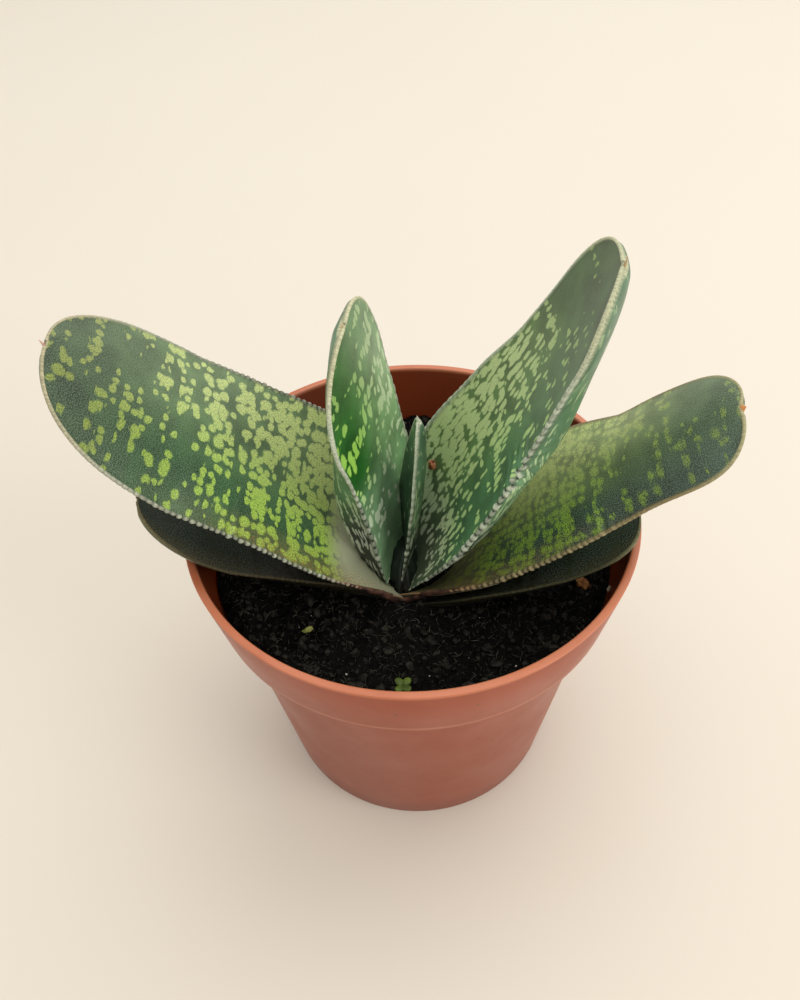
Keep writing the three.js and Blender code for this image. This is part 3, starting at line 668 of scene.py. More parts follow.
def margin_point(leaf, u, steps=20):
    """Where the near margin runs at a share of the length."""
    point, along, across, normal = midline(leaf, [u * i / steps for i in range(steps + 1)])[-1]
    half = width_at(leaf, u)[0]
    gutter = gutter_at(leaf, u)
    return point + across * (half * math.cos(gutter)) + normal * (half * math.sin(gutter))


def section_stations():
    """Round a leaf's section: (place across the face or None, side, turn round the cord)."""
    face = [math.sin(math.pi * ((i + 0.5) / FACE_COLUMNS - 0.5)) for i in range(FACE_COLUMNS)]
    turn = math.radians(BLADE["rim_turn"])
    cord = [turn * (1 - 2 * (i + 0.5) / RIM_COLUMNS) for i in range(RIM_COLUMNS)]
    inner = [(a, 1, 0) for a in face]
    outer = [(-a, -1, 0) for a in face]
    near = [(None, 1, t) for t in cord]
    far = [(None, -1, t) for t in cord]
    return inner + near + outer + far


STATIONS = section_stations()


def bead_at(phase, side):
    """Height from 0 to 1 of a row of beads at a place counted in beads."""
    stray, run = BLADE["stray"]
    phase += stray * noise.noise(Vector((phase / run, side * 3.7, 0.5)))
    number = math.floor(phase)
    part = (2 * (phase - number) ** BLADE["cup"] - 1) * BLADE["apart"]
    size = lerp(BLADE["smallest"], 1, chance(number, side))
    return size * math.sqrt(max(0, 1 - part * part))


def across_back(a, keel):
    """Place across the leaf of a column of its back, one of which runs along the keel."""
    middle = BLADE["keel_column"]
    if a < middle:
        return lerp(-1, keel, (a + 1) / (middle + 1))
    return lerp(keel, 1, (a - middle) / (1 - middle))


def leaf_section(leaf, u, outward, onward, phase, sizes, grow):
    """The points round a leaf's section at a share of its length.

    Each is its place in the section, its share across the leaf, how far it lies ahead of the
    section, and the height of the bead there. "outward" and "onward" are the parts of the
    margin's outward direction that lie across and along the leaf.
    """
    half, rounding = width_at(leaf, u)
    half = max(half, BLADE["tip_share"] * leaf["widths"][-1])
    rounding = max(rounding, BLADE["tip_share"])
    gutter = gutter_at(leaf, u)
    depth = parabola(leaf["thick"], u) * math.sqrt(rounding)
    thin, whole = BLADE["hem"]
    thinned = 1 if grow else lerp(thin, 1, step_up(0, whole, u))
    edge = min(leaf["edge"] * thinned, depth)
    keel = smooth(leaf["keel"], u)
    narrow, whole = BLADE["tuck"]
    tucked = lerp(narrow, 1, step_up(0, whole, u))
    distance = u * leaf["length"]
    wave, wave_length = BLADE["wave"]
    crease, spread, height = leaf["wrinkle"]
    notch_begins, notch_half = BLADE["notched"]
    points = []
    for a, side, turn in STATIONS:
        cord = smooth(leaf["cord"] if side > 0 else leaf["far_cord"], u) * thinned
        reach = 1 - min(BLADE["most_cord"], cord * outward / half)
        if a is None:
            where = float(side)
        elif side > 0:
            where = a * reach
        else:
            a = across_back(a, keel)
            where = a * reach
        if where < 0:
            where *= tucked
        slope = Vector((math.cos(gutter), 2 * where * math.sin(gutter))).normalized()
        out = Vector((-slope.y, slope.x))
        spot = Vector((where * math.cos(gutter), where * where * math.sin(gutter))) * half
        ahead = 0
        bead = 0
        if a is None:
            strength = min(1, max(0, smooth(leaf["near"] if side > 0 else leaf["far"], u)))
            bead = bead_at(phase, side)
            radius = cord * (1 - strength * BLADE["gap"] * (1 - bead)) * sizes.bead_size + grow
            bead = 1 - strength * (1 - bead)
            spot += out * (radius * math.sin(turn) * side - cord * BLADE["sunk"])
            spot += slope * (side * (radius * math.cos(turn) + grow) * outward)
            ahead = radius * math.cos(turn) * onward
        else:
            from_keel = (a - keel) / (1 - math.copysign(keel, a - keel))
            thickness = lerp(depth, edge, abs(from_keel) ** BLADE["fullness"])
            spot += out * (grow if side > 0 else -thickness - grow)
        if not grow:
            swell = noise.noise(Vector((where * 2, distance / wave_length, 4 * leaf["rank"])))
            folds = math.sin(distance * FULL_TURN / BLADE["fold"] + 2 * where)
            folds *= height * math.exp(-(((u - crease) / spread) ** 2)) * step_up(*BLADE["folded"], where)
            spot += out * (wave * swell * where * where * rounding + folds)
            dent = leaf["notch"] * step_up(notch_begins, 1, u)
            ahead -= dent * math.exp(-((where * half / notch_half) ** 2))
        points.append((spot, where, ahead, bead))
    return points


def pattern_places(points):
    """Distance across in mm for every point of a section, on the back from the keel."""
    first = FACE_COLUMNS + RIM_COLUMNS
    outer = range(first, first + FACE_COLUMNS)
    at_keel = min(outer, key=lambda i: abs(STATIONS[i][0] - BLADE["keel_column"]))
    places = [0.0] * COLUMNS
    for i in range(at_keel - 1, first - 1, -1):
        places[i] = places[i + 1] + (points[i][0] - points[i + 1][0]).length
    for i in range(at_keel + 1, first + FACE_COLUMNS):
        places[i] = places[i - 1] - (points[i][0] - points[i - 1][0]).length
    for i in outer:
        places[i] += BACK
    for i, (a, side, turn) in enumerate(STATIONS):
        if a is None and math.sin(turn) * side < 0:
            places[i] = places[first if side > 0 else first + FACE_COLUMNS - 1]
        elif a is None or side > 0:
            places[i] = math.copysign(points[i][0].length, points[i][1])
    return places


def leaf_mesh(leaf, sizes, grow=0, step=RING_STEP):
    """A leaf as a bmesh, with what its skin needs in three vertex layers.

    place: distances across and along in mm, the back moved far off, and the share of the length;
    rim: share of horny cord, height of the bead there, share of the tip's colour; marks: fill,
    bleaching and scurf. With "grow" it is plain and larger all round, to cut room for the leaf.
    """
    shares, distances = ring_shares(leaf, step)
    frames = midline(leaf, shares)
    halves = [width_at(leaf, u)[0] for u in shares]
    last = len(shares) - 1
    phase = 0
    sections = []
    for ring, u in enumerate(shares):
        # The margin's outward direction swings from across to along round the tip.
        low, high = max(ring - 1, 0), min(ring + 1, last)
        advance = (shares[high] - shares[low]) * leaf["length"]
        widening = halves[high] - halves[low]
        size = math.hypot(advance, widening)
        pitch = lerp(*leaf["pitch"], u) * sizes.bead_pitch
        phase += (distances[ring] - distances[low]) / pitch
        points = leaf_section(leaf, u, advance / size, -widening / size, phase, sizes, grow)
        sections.append((points, pattern_places(points)))

    # A rod is cut into as many rings as there are sections, and each ring is laid on its section.
    bm = bmesh.new()
    bmesh.ops.create_cone(bm, cap_ends=True, segments=COLUMNS, radius1=1, radius2=1, depth=1)
    cut_across(bm, last - 1)
    place, rim, marks = [bm.verts.layers.float_vector.new(layer) for layer in LAYERS]
    for vert in bm.verts:
        ring = round((vert.co.z + 0.5) * last)
        column = round(math.atan2(vert.co.y, vert.co.x) / FULL_TURN * COLUMNS) % COLUMNS
        u = shares[ring]
        point, along, across, normal = frames[ring]
        points, places = sections[ring]
        spot, where, ahead, bead = points[column]
        on_rim = STATIONS[column][0] is None
        if ring in (0, last):
            ahead += grow if ring else -grow
        vert.co = (point + across * spot.x + normal * spot.y + along * ahead) * MM

        filled = lerp(smooth(leaf["fill_far"], u), smooth(leaf["fill"], u), (where + 1) / 2)
        if STATIONS[column][1] < 0 and not on_rim:
            filled = smooth(BLADE["fill_back"], u)
        scurf = smooth(leaf["dirt"], u) * step_up(*BLADE["scurfy"], where)
        bleached = smooth(leaf["pale"], u) * (1 - step_up(*BLADE["bleached"], u))
        horny = 1 if on_rim else 1 - step_up(*BLADE["tip_cord"], width_at(leaf, u)[1])
        vert[place] = (places[column], u * leaf["length"], u)
        vert[rim] = (horny, bead, step_up(*BLADE["tip_tone"], u))
        vert[marks] = (filled * sizes.spots, max(0, bleached), max(0, scurf))
    face_outwards(bm)
    if bm.calc_volume(signed=True) < 0:
        bmesh.ops.reverse_faces(bm, faces=bm.faces)
    return bm


def keep_largest(bm):
    """Deletes every loose part of a mesh but the largest."""
    left = set(bm.verts)
    parts = []
    while left:
        part = {left.pop()}
        front = list(part)
        while front:
            vert = front.pop()
            for edge in vert.link_edges:
                other = edge.other_vert(vert)
                if other in left:
                    left.discard(other)
                    part.add(other)
                    front.append(other)
        parts.append(part)
    parts.sort(key=len)
    for part in parts[:-1]:
        bmesh.ops.delete(bm, geom=list(part), context="VERTS")


def make_leaf(name, leaf, sizes, cutters):
    """A leaf with its own skin inside and the streaked skin outside, cut to clasp the younger ones."""
    bm = leaf_mesh(leaf, sizes)
    skin = SKINS[name]
    behind = {**SKINS["back"], "cord": skin["cord"], "gloss": skin["gloss"], **skin["behind"]}
    back = leaf_skin("waxy leaf skin, back of " + name, behind, BACK)
    inner = leaf_skin("waxy leaf skin, " + name, skin)
    place = bm.verts.layers.float_vector["place"]
    for face in bm.faces:
        face.material_index = int(sum(v[place].x for v in face.verts) / len(face.verts) > BACK / 2)
    piece = finish_piece(bm, name + "_fine", [inner, back])
    if cutters:
        cut_away(piece, cutters, "MANIFOLD")
        trimmed = bmesh.new()
        trimmed.from_mesh(piece.data)
        keep_largest(trimmed)
        trimmed.to_mesh(piece.data)
        trimmed.free()
        piece.data.shade_smooth()
    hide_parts(name)


POINT = {"blunted": 0.12, "taper": 0.35, "flat": 0.8, "sunk": 0.5, "proud": 1, "bent": 0.35}


def make_tip(name, leaf):
    """The short dead point at a leaf's tip, a little bent."""
    length, radius, dark, light = leaf["point"]
    bm = bmesh.new()
    bmesh.ops.create_cone(
        bm, cap_ends=True, segments=12, radius1=1, radius2=POINT["blunted"], depth=1
    )
    cut_across(bm, 5)
    point, along, across, normal = midline(leaf, ring_shares(leaf, 1)[0])[-1]
    for vert in bm.verts:
        t = vert.co.z + 0.5
        swell = radius * (1 - POINT["taper"] * t)
        height = vert.co.y * swell * POINT["flat"] - leaf["edge"] / 2
        spot = across * (vert.co.x * swell) + normal * height
        spot += along * (length * lerp(-POINT["sunk"], POINT["proud"], t))
        spot += normal * (POINT["bent"] * length * t * t)
        vert.co = (point + spot) * MM
    face_outwards(bm)
    dead = loose_matter("dry horn, " + name, linear(dark), linear(light), 0.8, 0.6)
    tip = finish_piece(bm, name + "_tip", [dead])


class GASTERIA_OT_leaves(bpy.types.Operator):
    """Makes the seven leaves with their beaded margins."""

    bl_idname = "gasteria.leaves"
    bl_label = "Make the leaves"

    def execute(self, context):
        sizes = context.scene.gasteria_leaves
        cutters = []
        for name, leaf in LEAVES.items():
            make_leaf(name, leaf, sizes, cutters)
            if leaf["point"]:
                make_tip(name, leaf)
            room = leaf_mesh(leaf, sizes, grow=CLASP, step=CUTTER_STEP)
            cutters.append(new_object(room, "room"))
        for cutter in cutters:
            bpy.data.objects.remove(cutter)
        return {"FINISHED"}


# ---------------------------------------------------------------- pot

POT = {
    "rim_radius": 52.5,
    "height": 83,
    "collar_height": 18,
    "collar_foot_radius": 49.3,
    "body_top_radius": 46,
    "base_radius": 37.2,
    "wall": 1.5,
    "lip": 1.8,
    "floor": 1.8,
    "drain_holes": 6,
    "drain_radius": 3.5,
    "drain_ring": 25,
    # Bands that run round, each with what it paints: height, reach, strength and colour.
    "bands": [
        # painted shade: the body below the collar is darker, as in the collar's shade
        (20, 46, 0.5, 0x87340E),
        # painted shadow: a dark line just under the collar's lower edge
        (64.9, 0.7, 0.9, 0x6A2F1E),
        # painted highlight: a pale line along the collar's rounded lower edge
        (66.2, 0.7, 0.4, 0xD08A6A),
        # darker at the foot
        (2.5, 5, 0.35, 0x6E3626),
        # painted highlight: a pale band on the rim, whose top faces the light
        (83.4, 1.6, 0.55, 0xD48864),
    ],
    "inside_shade": 0.42,  # what the painted shade inside leaves of the colour
}
POT_SHOULDER = POT["height"] - POT["collar_height"]


def pot_inner_radius(z):
    """Radius of the pot's inside at a height."""
    if z > POT_SHOULDER + POT["wall"]:
        t = (z - POT_SHOULDER - POT["wall"]) / (POT["collar_height"] - POT["wall"])
        return lerp(POT["collar_foot_radius"] - POT["wall"], POT["rim_radius"] - POT["lip"], t)
    return lerp(POT["base_radius"], POT["body_top_radius"], z / POT_SHOULDER) - POT["wall"]


class GASTERIA_OT_pot(bpy.types.Operator):
    """Makes the moulded pot: a spun profile with rounded edges and drain holes."""

    bl_idname = "gasteria.pot"
    bl_label = "Make the pot"

    def execute(self, context):
        sizes = context.scene.gasteria_pot
        wall = POT["wall"]
        profile = [
            (0, 0),
            (POT["base_radius"], 0),
            (POT["body_top_radius"], POT_SHOULDER),
            (POT["collar_foot_radius"], POT_SHOULDER),
            (POT["rim_radius"], POT["height"]),
            (POT["rim_radius"] - POT["lip"], POT["height"]),
            (POT["collar_foot_radius"] - wall, POT_SHOULDER + wall),
            (POT["body_top_radius"] - wall, POT_SHOULDER + wall),
            (pot_inner_radius(POT["floor"]), POT["floor"]),
            (0, POT["floor"]),
        ]
        bm = bmesh.new()
        verts = [bm.verts.new((r * MM, 0, z * MM)) for r, z in profile]
        edges = [bm.edges.new(pair) for pair in zip(verts, verts[1:])]
        bmesh.ops.spin(
            bm, geom=verts + edges, cent=(0, 0, 0), axis=(0, 0, 1), angle=FULL_TURN, steps=sizes.steps,
            use_merge=True,
        )
        bmesh.ops.remove_doubles(bm, verts=bm.verts, dist=0.001 * MM)
        face_outwards(bm)
        inner = [e for e in bm.edges if len(e.link_faces) == 2]
        sharp = [e for e in inner if e.calc_face_angle(0) > math.radians(20)]
        bmesh.ops.bevel(
            bm, geom=sharp, offset=sizes.rounding, affect="EDGES", segments=3, profile=0.5, material=-1
        )
        # The inside above the floor takes a darker copy of the plastic: painted shade.
        for face in bm.faces:
            middle = face.calc_center_median()
            inside = face.normal.x * middle.x + face.normal.y * middle.y < -0.3 * middle.xy.length
            face.material_index = int(inside and middle.z > POT["floor"] * MM)
        # painted shade: the plastic's own colour, darkened for the inside
        painted_shade_inside = tuple(POT["inside_shade"] * c for c in sizes.colour[:3]) + (1,)
        skins = [
            pot_plastic("moulded polypropylene, satin", sizes.colour),
            pot_plastic("moulded polypropylene, stained", painted_shade_inside),
        ]
        pot = finish_piece(bm, "pot_fine", skins)
        drill = bmesh.new()
        for i in range(POT["drain_holes"]):
            angle = FULL_TURN * i / POT["drain_holes"]
            at = Vector((math.cos(angle), math.sin(angle), 0)) * POT["drain_ring"] * MM
            radius = POT["drain_radius"] * MM
            bmesh.ops.create_cone(
                drill, cap_ends=True, segments=40, radius1=radius, radius2=radius,
                depth=4 * POT["floor"] * MM, matrix=Matrix.Translation(at),
            )
        cutter = new_object(drill, "drill")
        cut_away(pot, [cutter], "EXACT")
        bpy.data.objects.remove(cutter)
        pot.data.shade_smooth()
        pot.data.set_sharp_from_angle(angle=math.radians(30))
        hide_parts("pot")
        return {"FINISHED"}


# ---------------------------------------------------------------- soil

SOIL = {
    "level": 65.5,
    "slope": 2.5,
    "swell": 0.7,
    # The humps are waves: radians along X and along Y over the pot's radius, phase and share.
    "waves": [(5.1, 4.3, 1.3, 0.5), (5.1, -4.3, 1.3, 0.5), (9.7, -8.1, 0.4, 0.6)],
    "gap": 0.3,
    "edge": 47.6,
    "cells": 210,
    # Relief: grain in mm and height in mm.
    "relief": [(7, 1.3), (2.6, 1.2), (1.1, 0.8)],
    "bank": (39, 43.5, 68.2),  # where the soil rises to cover the pot's ledge, and to what height
    "side": 3.5,  # how far under the pot's shoulder the soil's side begins
    "strewn": 0.97,  # share of the radius on which loose things lie
}
# Loose things: seed, and size as the least, what is added at most, and how rare large ones are.
CRUMBS = {
    "seed": 3,
    "size": (0.18, 1.1, 4),
    "spans": [(0.7, 1.4), (0.7, 1.4), (0.5, 0.9)],
    "turned": 6.28,
    "dented": 0.25,
}
FIBRES = {
    "seed": 8,
    "size": (0.5, 3, 2.5),
    "radius": (0.03, 0.085),
    "taper": 0.5,
    "curl": (-4, 4),  # in radians from end to end
    "lift": (0.1, 0.6),
    "proud": 0.1,
}
SPECKS = {"seed": 21, "size": (0.07, 0.25, 3), "proud": 0.3}


def soil_height(x, y):
    """Height of the soil's surface in mm, with its broad humps."""
    humps = sum(
        share * math.sin((wx * x + wy * y) / POT["rim_radius"] + phase)
        for wx, wy, phase, share in SOIL["waves"]
    )
    height = SOIL["level"] + SOIL["slope"] * y / POT["rim_radius"] + SOIL["swell"] * humps
    begins, ends, banked = SOIL["bank"]
    return lerp(height, max(height, banked), step_up(begins, ends, math.hypot(x, y)))


def on_soil(x, y):
    """The point of the soil's surface over x and y, with its clods and crumbs."""
    relief = [height * noise.noise(Vector((x / g, y / g, g))) for g, height in SOIL["relief"]]
    return Vector((x, y, soil_height(x, y) + sum(relief)))


def drawn_size(kind, dice):
    least, more, rarity = kind["size"]
    return least + more * dice.random() ** rarity


class GASTERIA_OT_soil(bpy.types.Operator):
    """Makes the peat, its loose crumbs, fibres and grains of sand."""

    bl_idname = "gasteria.soil"
    bl_label = "Make the soil"

    def execute(self, context):
        look = context.scene.gasteria_soil
        self.make_bed(look)
        self.make_crumbs(look)
        self.make_fibres(look)
        self.make_specks(look)
        return {"FINISHED"}

    def make_bed(self, look):
        bm = bmesh.new()
        bmesh.ops.create_grid(bm, x_segments=SOIL["cells"], y_segments=SOIL["cells"], size=1)
        for vert in bm.verts:
            # The square grid is pressed into a disc, and the disc is laid on the soil's height.
            x, y = vert.co.xy
            disc_x, disc_y = x * math.sqrt(1 - y * y / 2), y * math.sqrt(1 - x * x / 2)
            vert.co = on_soil(disc_x * SOIL["edge"], disc_y * SOIL["edge"]) * MM
        border = [e for e in bm.edges if e.is_boundary]
        for z in (POT_SHOULDER - SOIL["side"], POT["floor"] + SOIL["gap"]):
            made = bmesh.ops.extrude_edge_only(bm, edges=border)["geom"]
            border = [g for g in made if isinstance(g, bmesh.types.BMEdge)]
            radius = pot_inner_radius(z) - SOIL["gap"]
            for vert in [g for g in made if isinstance(g, bmesh.types.BMVert)]:
                flat = vert.co.xy.normalized() * radius
                vert.co = Vector((flat.x, flat.y, z)) * MM
        bmesh.ops.holes_fill(bm, edges=border, sides=0)
        face_outwards(bm)
        peat = loose_matter("moist peat", linear(0x030303), tuple(look.colour), 1.2, 0.8, 0.12)
        bed = finish_piece(bm, "soil_fine", [peat])
        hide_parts("soil")

    def strew(self, count, kind):
        """Places on the soil, evenly scattered, each with a random generator."""
        dice = random.Random(kind["seed"])
        for _ in range(count):
            angle = dice.uniform(0, FULL_TURN)
            radius = SOIL["edge"] * (math.sqrt(dice.random()) * SOIL["strewn"])
            yield on_soil(math.cos(angle) * radius, math.sin(angle) * radius), dice

    def make_crumbs(self, look):
        bm = bmesh.new()
        for place, dice in self.strew(look.crumbs, CRUMBS):
            size = drawn_size(CRUMBS, dice)
            shape = Matrix.Diagonal((*[size * dice.uniform(*span) for span in CRUMBS["spans"]], 1))
            angle = dice.uniform(0, CRUMBS["turned"])
            axis = Vector((dice.random(), dice.random(), 1)).normalized()
            seat = Matrix.Translation(place * MM) @ Matrix.Rotation(angle, 4, axis)
            seat = seat @ shape @ Matrix.Scale(MM, 4)
            made = bmesh.ops.create_icosphere(bm, subdivisions=1, radius=1, matrix=seat)
            for vert in made["verts"]:
                vert.co += (vert.co - place * MM) * dice.uniform(-CRUMBS["dented"], CRUMBS["dented"])
        face_outwards(bm)
        matter = loose_matter("peat crumbs", linear(0x040403), linear(0x322F29), 1.2, 0.7, 0.25)
        crumbs = finish_piece(bm, "soil_crumbs", [matter], smooth_faces=False)

    def make_fibres(self, look):
        bm = bmesh.new()
        # The strands are made side by side, cut across all at once, and then each is bent into place.
        apart = 10
        strands = []
        for place, dice in self.strew(look.fibres, FIBRES):
            radius = dice.uniform(*FIBRES["radius"])
            bmesh.ops.create_cone(
                bm, cap_ends=True, segments=3, radius1=radius, radius2=radius * FIBRES["taper"], depth=1,
                matrix=Matrix.Translation((apart * len(strands), 0, 0)),
            )
            length = drawn_size(FIBRES, dice)
            curl = dice.uniform(*FIBRES["curl"])
            heading = dice.uniform(0, FULL_TURN)
            strands.append((place, length, heading, curl, dice.uniform(*FIBRES["lift"])))
        cut_across(bm, 4)
        for vert in bm.verts:
            number = round(vert.co.x / apart)
            place, length, heading, curl, lift = strands[number]
            side, up, t = vert.co.x - apart * number, vert.co.y, vert.co.z + 0.5
            onward = length * (t - 0.5)
            bow = length * 0.25 * curl * (t * t - t)
            angle = heading + curl * (t - 0.5) * 0.5
            spine_x = place.x + onward * math.cos(heading) - bow * math.sin(heading)
            spine_y = place.y + onward * math.sin(heading) + bow * math.cos(heading)
            spine = Vector((spine_x, spine_y, place.z + lift * 4 * t * (1 - t) + FIBRES["proud"]))
            off = Vector((-math.sin(angle) * side, math.cos(angle) * side, up))
            vert.co = (spine + off) * MM
        face_outwards(bm)
        matter = loose_matter("peat fibres", linear(0x080808), linear(0x76766A), 1.6, 0.6, 0.2)
        fibres = finish_piece(bm, "soil_fibres", [matter])

    def make_specks(self, look):
        bm = bmesh.new()
        for place, dice in self.strew(look.specks, SPECKS):
            size = drawn_size(SPECKS, dice)
            place = place + Vector((0, 0, SPECKS["proud"]))
            seat = Matrix.Translation(place * MM) @ Matrix.Scale(size * MM, 4)
            bmesh.ops.create_icosphere(bm, subdivisions=1, radius=1, matrix=seat)
        face_outwards(bm)
        matter = loose_matter("quartz sand", linear(0xB9B4AC), linear(0xE8E4DC), 0.3, 0.5)
        specks = finish_piece(bm, "sand_grains", [matter])


# ---------------------------------------------------------------- small things

BUD = {
    "place": (-2.2, -4.5),
    "size": (4.2, 9.2, 9.5),  # half its width and depth, and its height
    "foot": 62,
    "pleats": (9, 0.08),  # how many, and how deep as a share of the radius
}
# The seam where the broad leaves' feet meet: it hangs low, and its dark brown is partly painted shade.
HEM = {
    "shares": [0.22, 0.16, 0.1],  # where it follows each broad leaf's margin
    "meet": (-2.4, -14.6, 64.8),
    "radii": (0.55, 0.85),  # level and upright
    "lower": 0.35,
    "steps": 60,
    "roughness": (0.25, 0.7),  # depth, and waves in a millimetre
    "thinnest": 0.2,  # share of its thickness at its ends
}
CRUMB = {"place": (39.6, -14.2), "size": (1.3, 1.9, 1.1), "turn": 0.6, "sunk": 0.5}
# Bits of dry matter: place, half sizes, turn, and dark and light colour.
SCRAPS = {
    "yellow_bud_scale": ((-24.5, -23.4, 65.9), (1.2, 0.7, 0.5), 0.3, (0x5E6A28, 0xB0B268)),
    "dry_flower_scale": ((5.5, 8.0, 86.4), (1.3, 1.1, 1.5), 1.0, (0x5A160C, 0xE8A070)),
    "pale_root_end": ((44.6, -17.4, 69.6), (0.9, 0.4, 0.4), 1.1, (0x7A6A58, 0xC8B8A4)),
}
SEEDLING = {
    "place": (-3, -38),
    "height": 1.9,
    "stalk": (0.4, 0.28),  # radius at the foot and at the top
    "depth": 3,
    "lobes": 4,
    "reach": 1.15,
    "size": (1.05, 0.9, 0.3),
    "cupped": 0.064,
}


def rough_lump(fineness, relief, seat, size, turn, shift=(0, 0, 0), bend=0):
    """A ball of rough skin, pressed to its half sizes, bent up at its ends, turned and seated."""
    bm = bmesh.new()
    bmesh.ops.create_icosphere(bm, subdivisions=fineness, radius=1)
    turn = Matrix.Rotation(turn, 3, "Z")
    (deep, broad), (shallow, narrow) = relief
    for vert in bm.verts:
        rough = 1 + deep * noise.noise(vert.co * broad + Vector(shift))
        rough += shallow * noise.noise(vert.co * narrow)
        shape = Vector(a * b for a, b in zip(vert.co * rough, size))
        shape.z += bend * size[2] * (shape.x / size[0]) ** 2
        vert.co = (Vector(seat) + turn @ shape) * MM
    face_outwards(bm)
    return bm


class GASTERIA_OT_litter(bpy.types.Operator):
    """Makes the bark crumb, the seedling and the dry scraps."""

    bl_idname = "gasteria.litter"
    bl_label = "Make the litter"

    def execute(self, context):
        self.make_crumb()
        self.make_seedling()
        for name, (place, size, turn, codes) in SCRAPS.items():
            scrap = rough_lump(3, [(0.5, 1.3), (0.2, 4)], place, size, turn, shift=place, bend=0.5)
            dry = loose_matter("dry tissue, " + name, *map(linear, codes), 0.7, 0.7)
            finish_piece(scrap, name, [dry])
        return {"FINISHED"}

    def make_crumb(self):
        x, y = CRUMB["place"]
        seat = (x, y, soil_height(x, y) + CRUMB["size"][2] - CRUMB["sunk"])
        bm = rough_lump(4, [(0.3, 1.6), (0.12, 5)], seat, CRUMB["size"], CRUMB["turn"])
        bark = loose_matter("dry bark", linear(0x6B3A1C), linear(0xC08A52), 1)
        crumb = finish_piece(bm, "bark_crumb_fine", [bark])
        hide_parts("bark_crumb")

    def make_seedling(self):
        x, y = SEEDLING["place"]
        top = soil_height(x, y) + SEEDLING["height"]
        length = SEEDLING["height"] + SEEDLING["depth"]
        foot, head = SEEDLING["stalk"]
        bm = bmesh.new()
        bmesh.ops.create_cone(
            bm, cap_ends=True, segments=12, radius1=foot * MM, radius2=head * MM, depth=length * MM,
            matrix=Matrix.Translation(Vector((x, y, top - length / 2)) * MM),
        )
        for i in range(SEEDLING["lobes"]):
            made = bmesh.ops.create_uvsphere(bm, u_segments=20, v_segments=12, radius=1)
            turn = Matrix.Rotation(FULL_TURN * (i + 0.5) / SEEDLING["lobes"], 3, "Z")
            for vert in made["verts"]:
                shape = Vector(a * b for a, b in zip(vert.co, SEEDLING["size"]))
                shape.x += SEEDLING["reach"]
                shape.z += SEEDLING["cupped"] * shape.x * shape.x
                vert.co = (turn @ shape + Vector((x, y, top))) * MM
        face_outwards(bm)
        green = loose_matter("young leaf skin", linear(0x33470A), linear(0x5E7414), 2, 0.5)
        seedling = finish_piece(bm, "seedling_fine", [green])
        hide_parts("seedling")


class GASTERIA_OT_stem(bpy.types.Operator):
    """Gives the stem its corky skin, and makes the folded leaf bases and their hem."""

    bl_idname = "gasteria.stem"
    bl_label = "Finish the stem"

    def execute(self, context):
        cork = loose_matter("corky stem skin", linear(0x6E5B3C), linear(0xA8946C), 2)
        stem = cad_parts["stem"]
        stem.data.materials.clear()
        stem.data.materials.append(cork)
        self.make_bases()
        self.make_hem()
        return {"FINISHED"}

    def make_bases(self):
        bm = bmesh.new()
        bmesh.ops.create_uvsphere(bm, u_segments=48, v_segments=24, radius=1)
        x, y = BUD["place"]
        pleats, depth = BUD["pleats"]
        for vert in bm.verts:
            pleat = 1 + depth * math.sin(pleats * math.atan2(vert.co.y, vert.co.x))
            shape = [a * b for a, b in zip(vert.co, BUD["size"])]
            spot = Vector((x + shape[0] * pleat, y + shape[1] * pleat, BUD["foot"] + shape[2]))
            vert.co = spot * MM
        face_outwards(bm)
        # The bases are painted near black: painted shade deep among the leaves' feet.
        green = loose_matter("folded leaf bases", linear(0x0A0E0A), linear(0x26332A), 4, 0.5)
        finish_piece(bm, "leaf_bases", [green])

    def make_hem(self):
        """The brown seam in which the feet of the two broad leaves meet; it hangs low, and its dark brown is
        partly painted shade under their feet.
        """
        left, right = [
            [margin_point(LEAVES[name], u) for u in HEM["shares"]]
            for name in ("leaf_left_broad", "leaf_right_broad")
        ]
        path = left + [Vector(HEM["meet"])] + right[::-1]
        tracks = [[point[i] for point in path] for i in range(3)]
        deep, wave = HEM["roughness"]
        bm = bmesh.new()
        bmesh.ops.create_cone(bm, cap_ends=True, segments=16, radius1=1, radius2=1, depth=1)
        cut_across(bm, HEM["steps"])
        for vert in bm.verts:
            t = vert.co.z + 0.5
            spot, ahead, back = [
                Vector(smooth(track, t + further) for track in tracks) for further in (0, 0.01, -0.01)
            ]
            along = (ahead - back).normalized()
            level = along.cross(Vector((0, 0, 1))).normalized()
            upright = level.cross(along)
            taper = math.sqrt(max(HEM["thinnest"] ** 2, 4 * t * (1 - t)))
            rough = 1 + deep * noise.noise(spot * wave)
            spot += level * (vert.co.x * HEM["radii"][0] * taper * rough)
            spot += upright * ((vert.co.y * HEM["radii"][1] - HEM["lower"]) * taper * rough)
            vert.co = spot * MM
        face_outwards(bm)
        # Brown of the dry seam, its darkest tones partly painted shade.
        brown = loose_matter("dry leaf hem", linear(0x1E1511), linear(0x6E4C3C), 2.5, 0.6)
        finish_piece(bm, "leaf_hem", [brown])


# ---------------------------------------------------------------- stage

LAMP_COLOUR = 0xFFFAF2
SKY_STRENGTH = 0.84
# The lamps' places and sizes in metres, and their power in watts; each looks at PLANT_MIDDLE.
LAMPS = {
    "window": ((0.45, 0.7, 1.2), 1.6, 6.6),
    "ceiling": ((-0.1, 0.1, 1.5), 1.6, 5),
    "wall": ((1.0, -0.5, 0.55), 0.7, 5.6),
}
PLANT_MIDDLE = (0, 0, 0.08)
FLOOR_HALF_SIZE = 3  # in metres


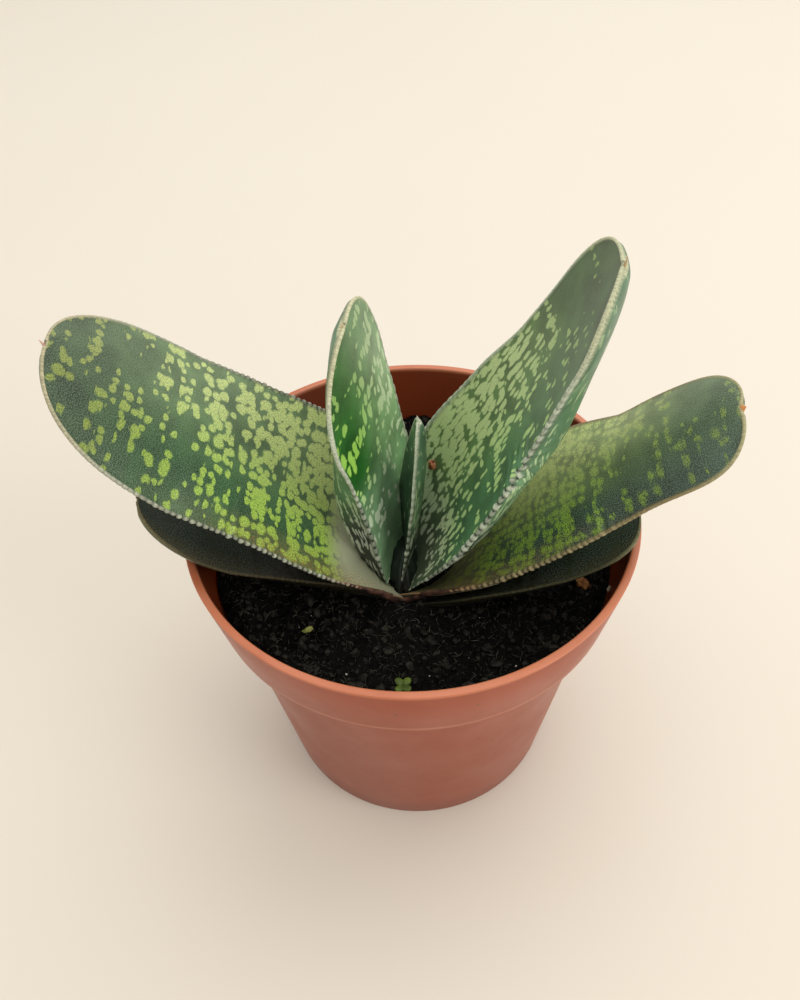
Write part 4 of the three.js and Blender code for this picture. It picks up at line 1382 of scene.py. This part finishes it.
class GASTERIA_OT_stage(bpy.types.Operator):
    """Lays the floor, hangs the lights and sets up the camera."""

    bl_idname = "gasteria.stage"
    bl_label = "Set the stage"

    def execute(self, context):
        look = context.scene.gasteria_stage
        self.lay_floor(look)
        self.hang_lights(context.scene)
        self.place_camera(context.scene, look)
        return {"FINISHED"}

    def lay_floor(self, look):
        bm = bmesh.new()
        bmesh.ops.create_grid(bm, x_segments=1, y_segments=1, size=FLOOR_HALF_SIZE)
        material, tree, shader = new_material("painted board, matt", Roughness=0.7)
        spot = add(tree, "TexCoord", {}).outputs["Object"]
        cloud = add(tree, "TexNoise", {}, spot, 3, 3)
        warmer = tuple(c * f for c, f in zip(look.floor, (0.97, 0.95, 0.92, 1)))
        tone = add(tree, "Mix", BLEND, cloud, tuple(look.floor), warmer)
        plug(tree, shader, Base_Color=tone)
        floor = new_object(bm, "floor")
        floor.data.materials.append(material)

    def hang_lights(self, scene):
        world = bpy.data.worlds.new("soft room")
        world.use_nodes = True
        sky = world.node_tree.nodes["Background"]
        sky.inputs["Color"].default_value = linear(LAMP_COLOUR)
        sky.inputs["Strength"].default_value = SKY_STRENGTH
        scene.world = world
        for name, (place, size, power) in LAMPS.items():
            lamp = bpy.data.lights.new(name, "AREA")
            lamp.shape = "DISK"
            lamp.size = size
            lamp.energy = power
            lamp.color = linear(LAMP_COLOUR)[:3]
            holder = bpy.data.objects.new(name, lamp)
            holder.location = place
            aim = Vector(PLANT_MIDDLE) - Vector(place)
            holder.rotation_euler = aim.to_track_quat("-Z", "Y").to_euler()
            scene.collection.objects.link(holder)

    def place_camera(self, scene, look):
        camera = bpy.data.cameras.new("camera")
        camera.lens = look.lens
        camera.clip_start = 0.01
        holder = bpy.data.objects.new("camera", camera)
        aim = Vector(look.aim) - Vector(look.camera)
        turn = aim.to_track_quat("-Z", "Y").to_matrix().to_4x4()
        roll = Matrix.Rotation(look.tilt, 4, "Z")
        holder.matrix_world = Matrix.Translation(look.camera) @ turn @ roll
        scene.collection.objects.link(holder)
        scene.camera = holder
        scene.view_settings.view_transform = "Standard"


# ---------------------------------------------------------------- add-on

OPERATORS = [
    GASTERIA_OT_stage,
    GASTERIA_OT_pot,
    GASTERIA_OT_soil,
    GASTERIA_OT_stem,
    GASTERIA_OT_leaves,
    GASTERIA_OT_litter,
]
SETTINGS = {
    "gasteria_pot": GasteriaPot,
    "gasteria_soil": GasteriaSoil,
    "gasteria_leaves": GasteriaLeaves,
    "gasteria_stage": GasteriaStage,
}


class GASTERIA_PT_panel(bpy.types.Panel):
    """Lists the settings and the operators."""

    bl_label = "Gasteria"
    bl_idname = "GASTERIA_PT_panel"
    bl_space_type = "VIEW_3D"
    bl_region_type = "UI"
    bl_category = "Gasteria"

    def draw(self, context):
        for name in SETTINGS:
            box = self.layout.box()
            for prop in getattr(context.scene, name).bl_rna.properties:
                if prop.identifier not in {"rna_type", "name"}:
                    box.prop(getattr(context.scene, name), prop.identifier)
        for operator in OPERATORS:
            self.layout.operator(operator.bl_idname)


def register():
    for made in [*SETTINGS.values(), *OPERATORS, GASTERIA_PT_panel]:
        bpy.utils.register_class(made)
    for name, group in SETTINGS.items():
        setattr(bpy.types.Scene, name, bpy.props.PointerProperty(type=group))


def unregister():
    for name in SETTINGS:
        delattr(bpy.types.Scene, name)
    for made in reversed([*SETTINGS.values(), *OPERATORS, GASTERIA_PT_panel]):
        bpy.utils.unregister_class(made)


def main():
    register()
    bpy.ops.gasteria.stage()
    bpy.ops.gasteria.pot()
    bpy.ops.gasteria.soil()
    bpy.ops.gasteria.stem()
    bpy.ops.gasteria.leaves()
    bpy.ops.gasteria.litter()


if __name__ == "__main__":
    main()
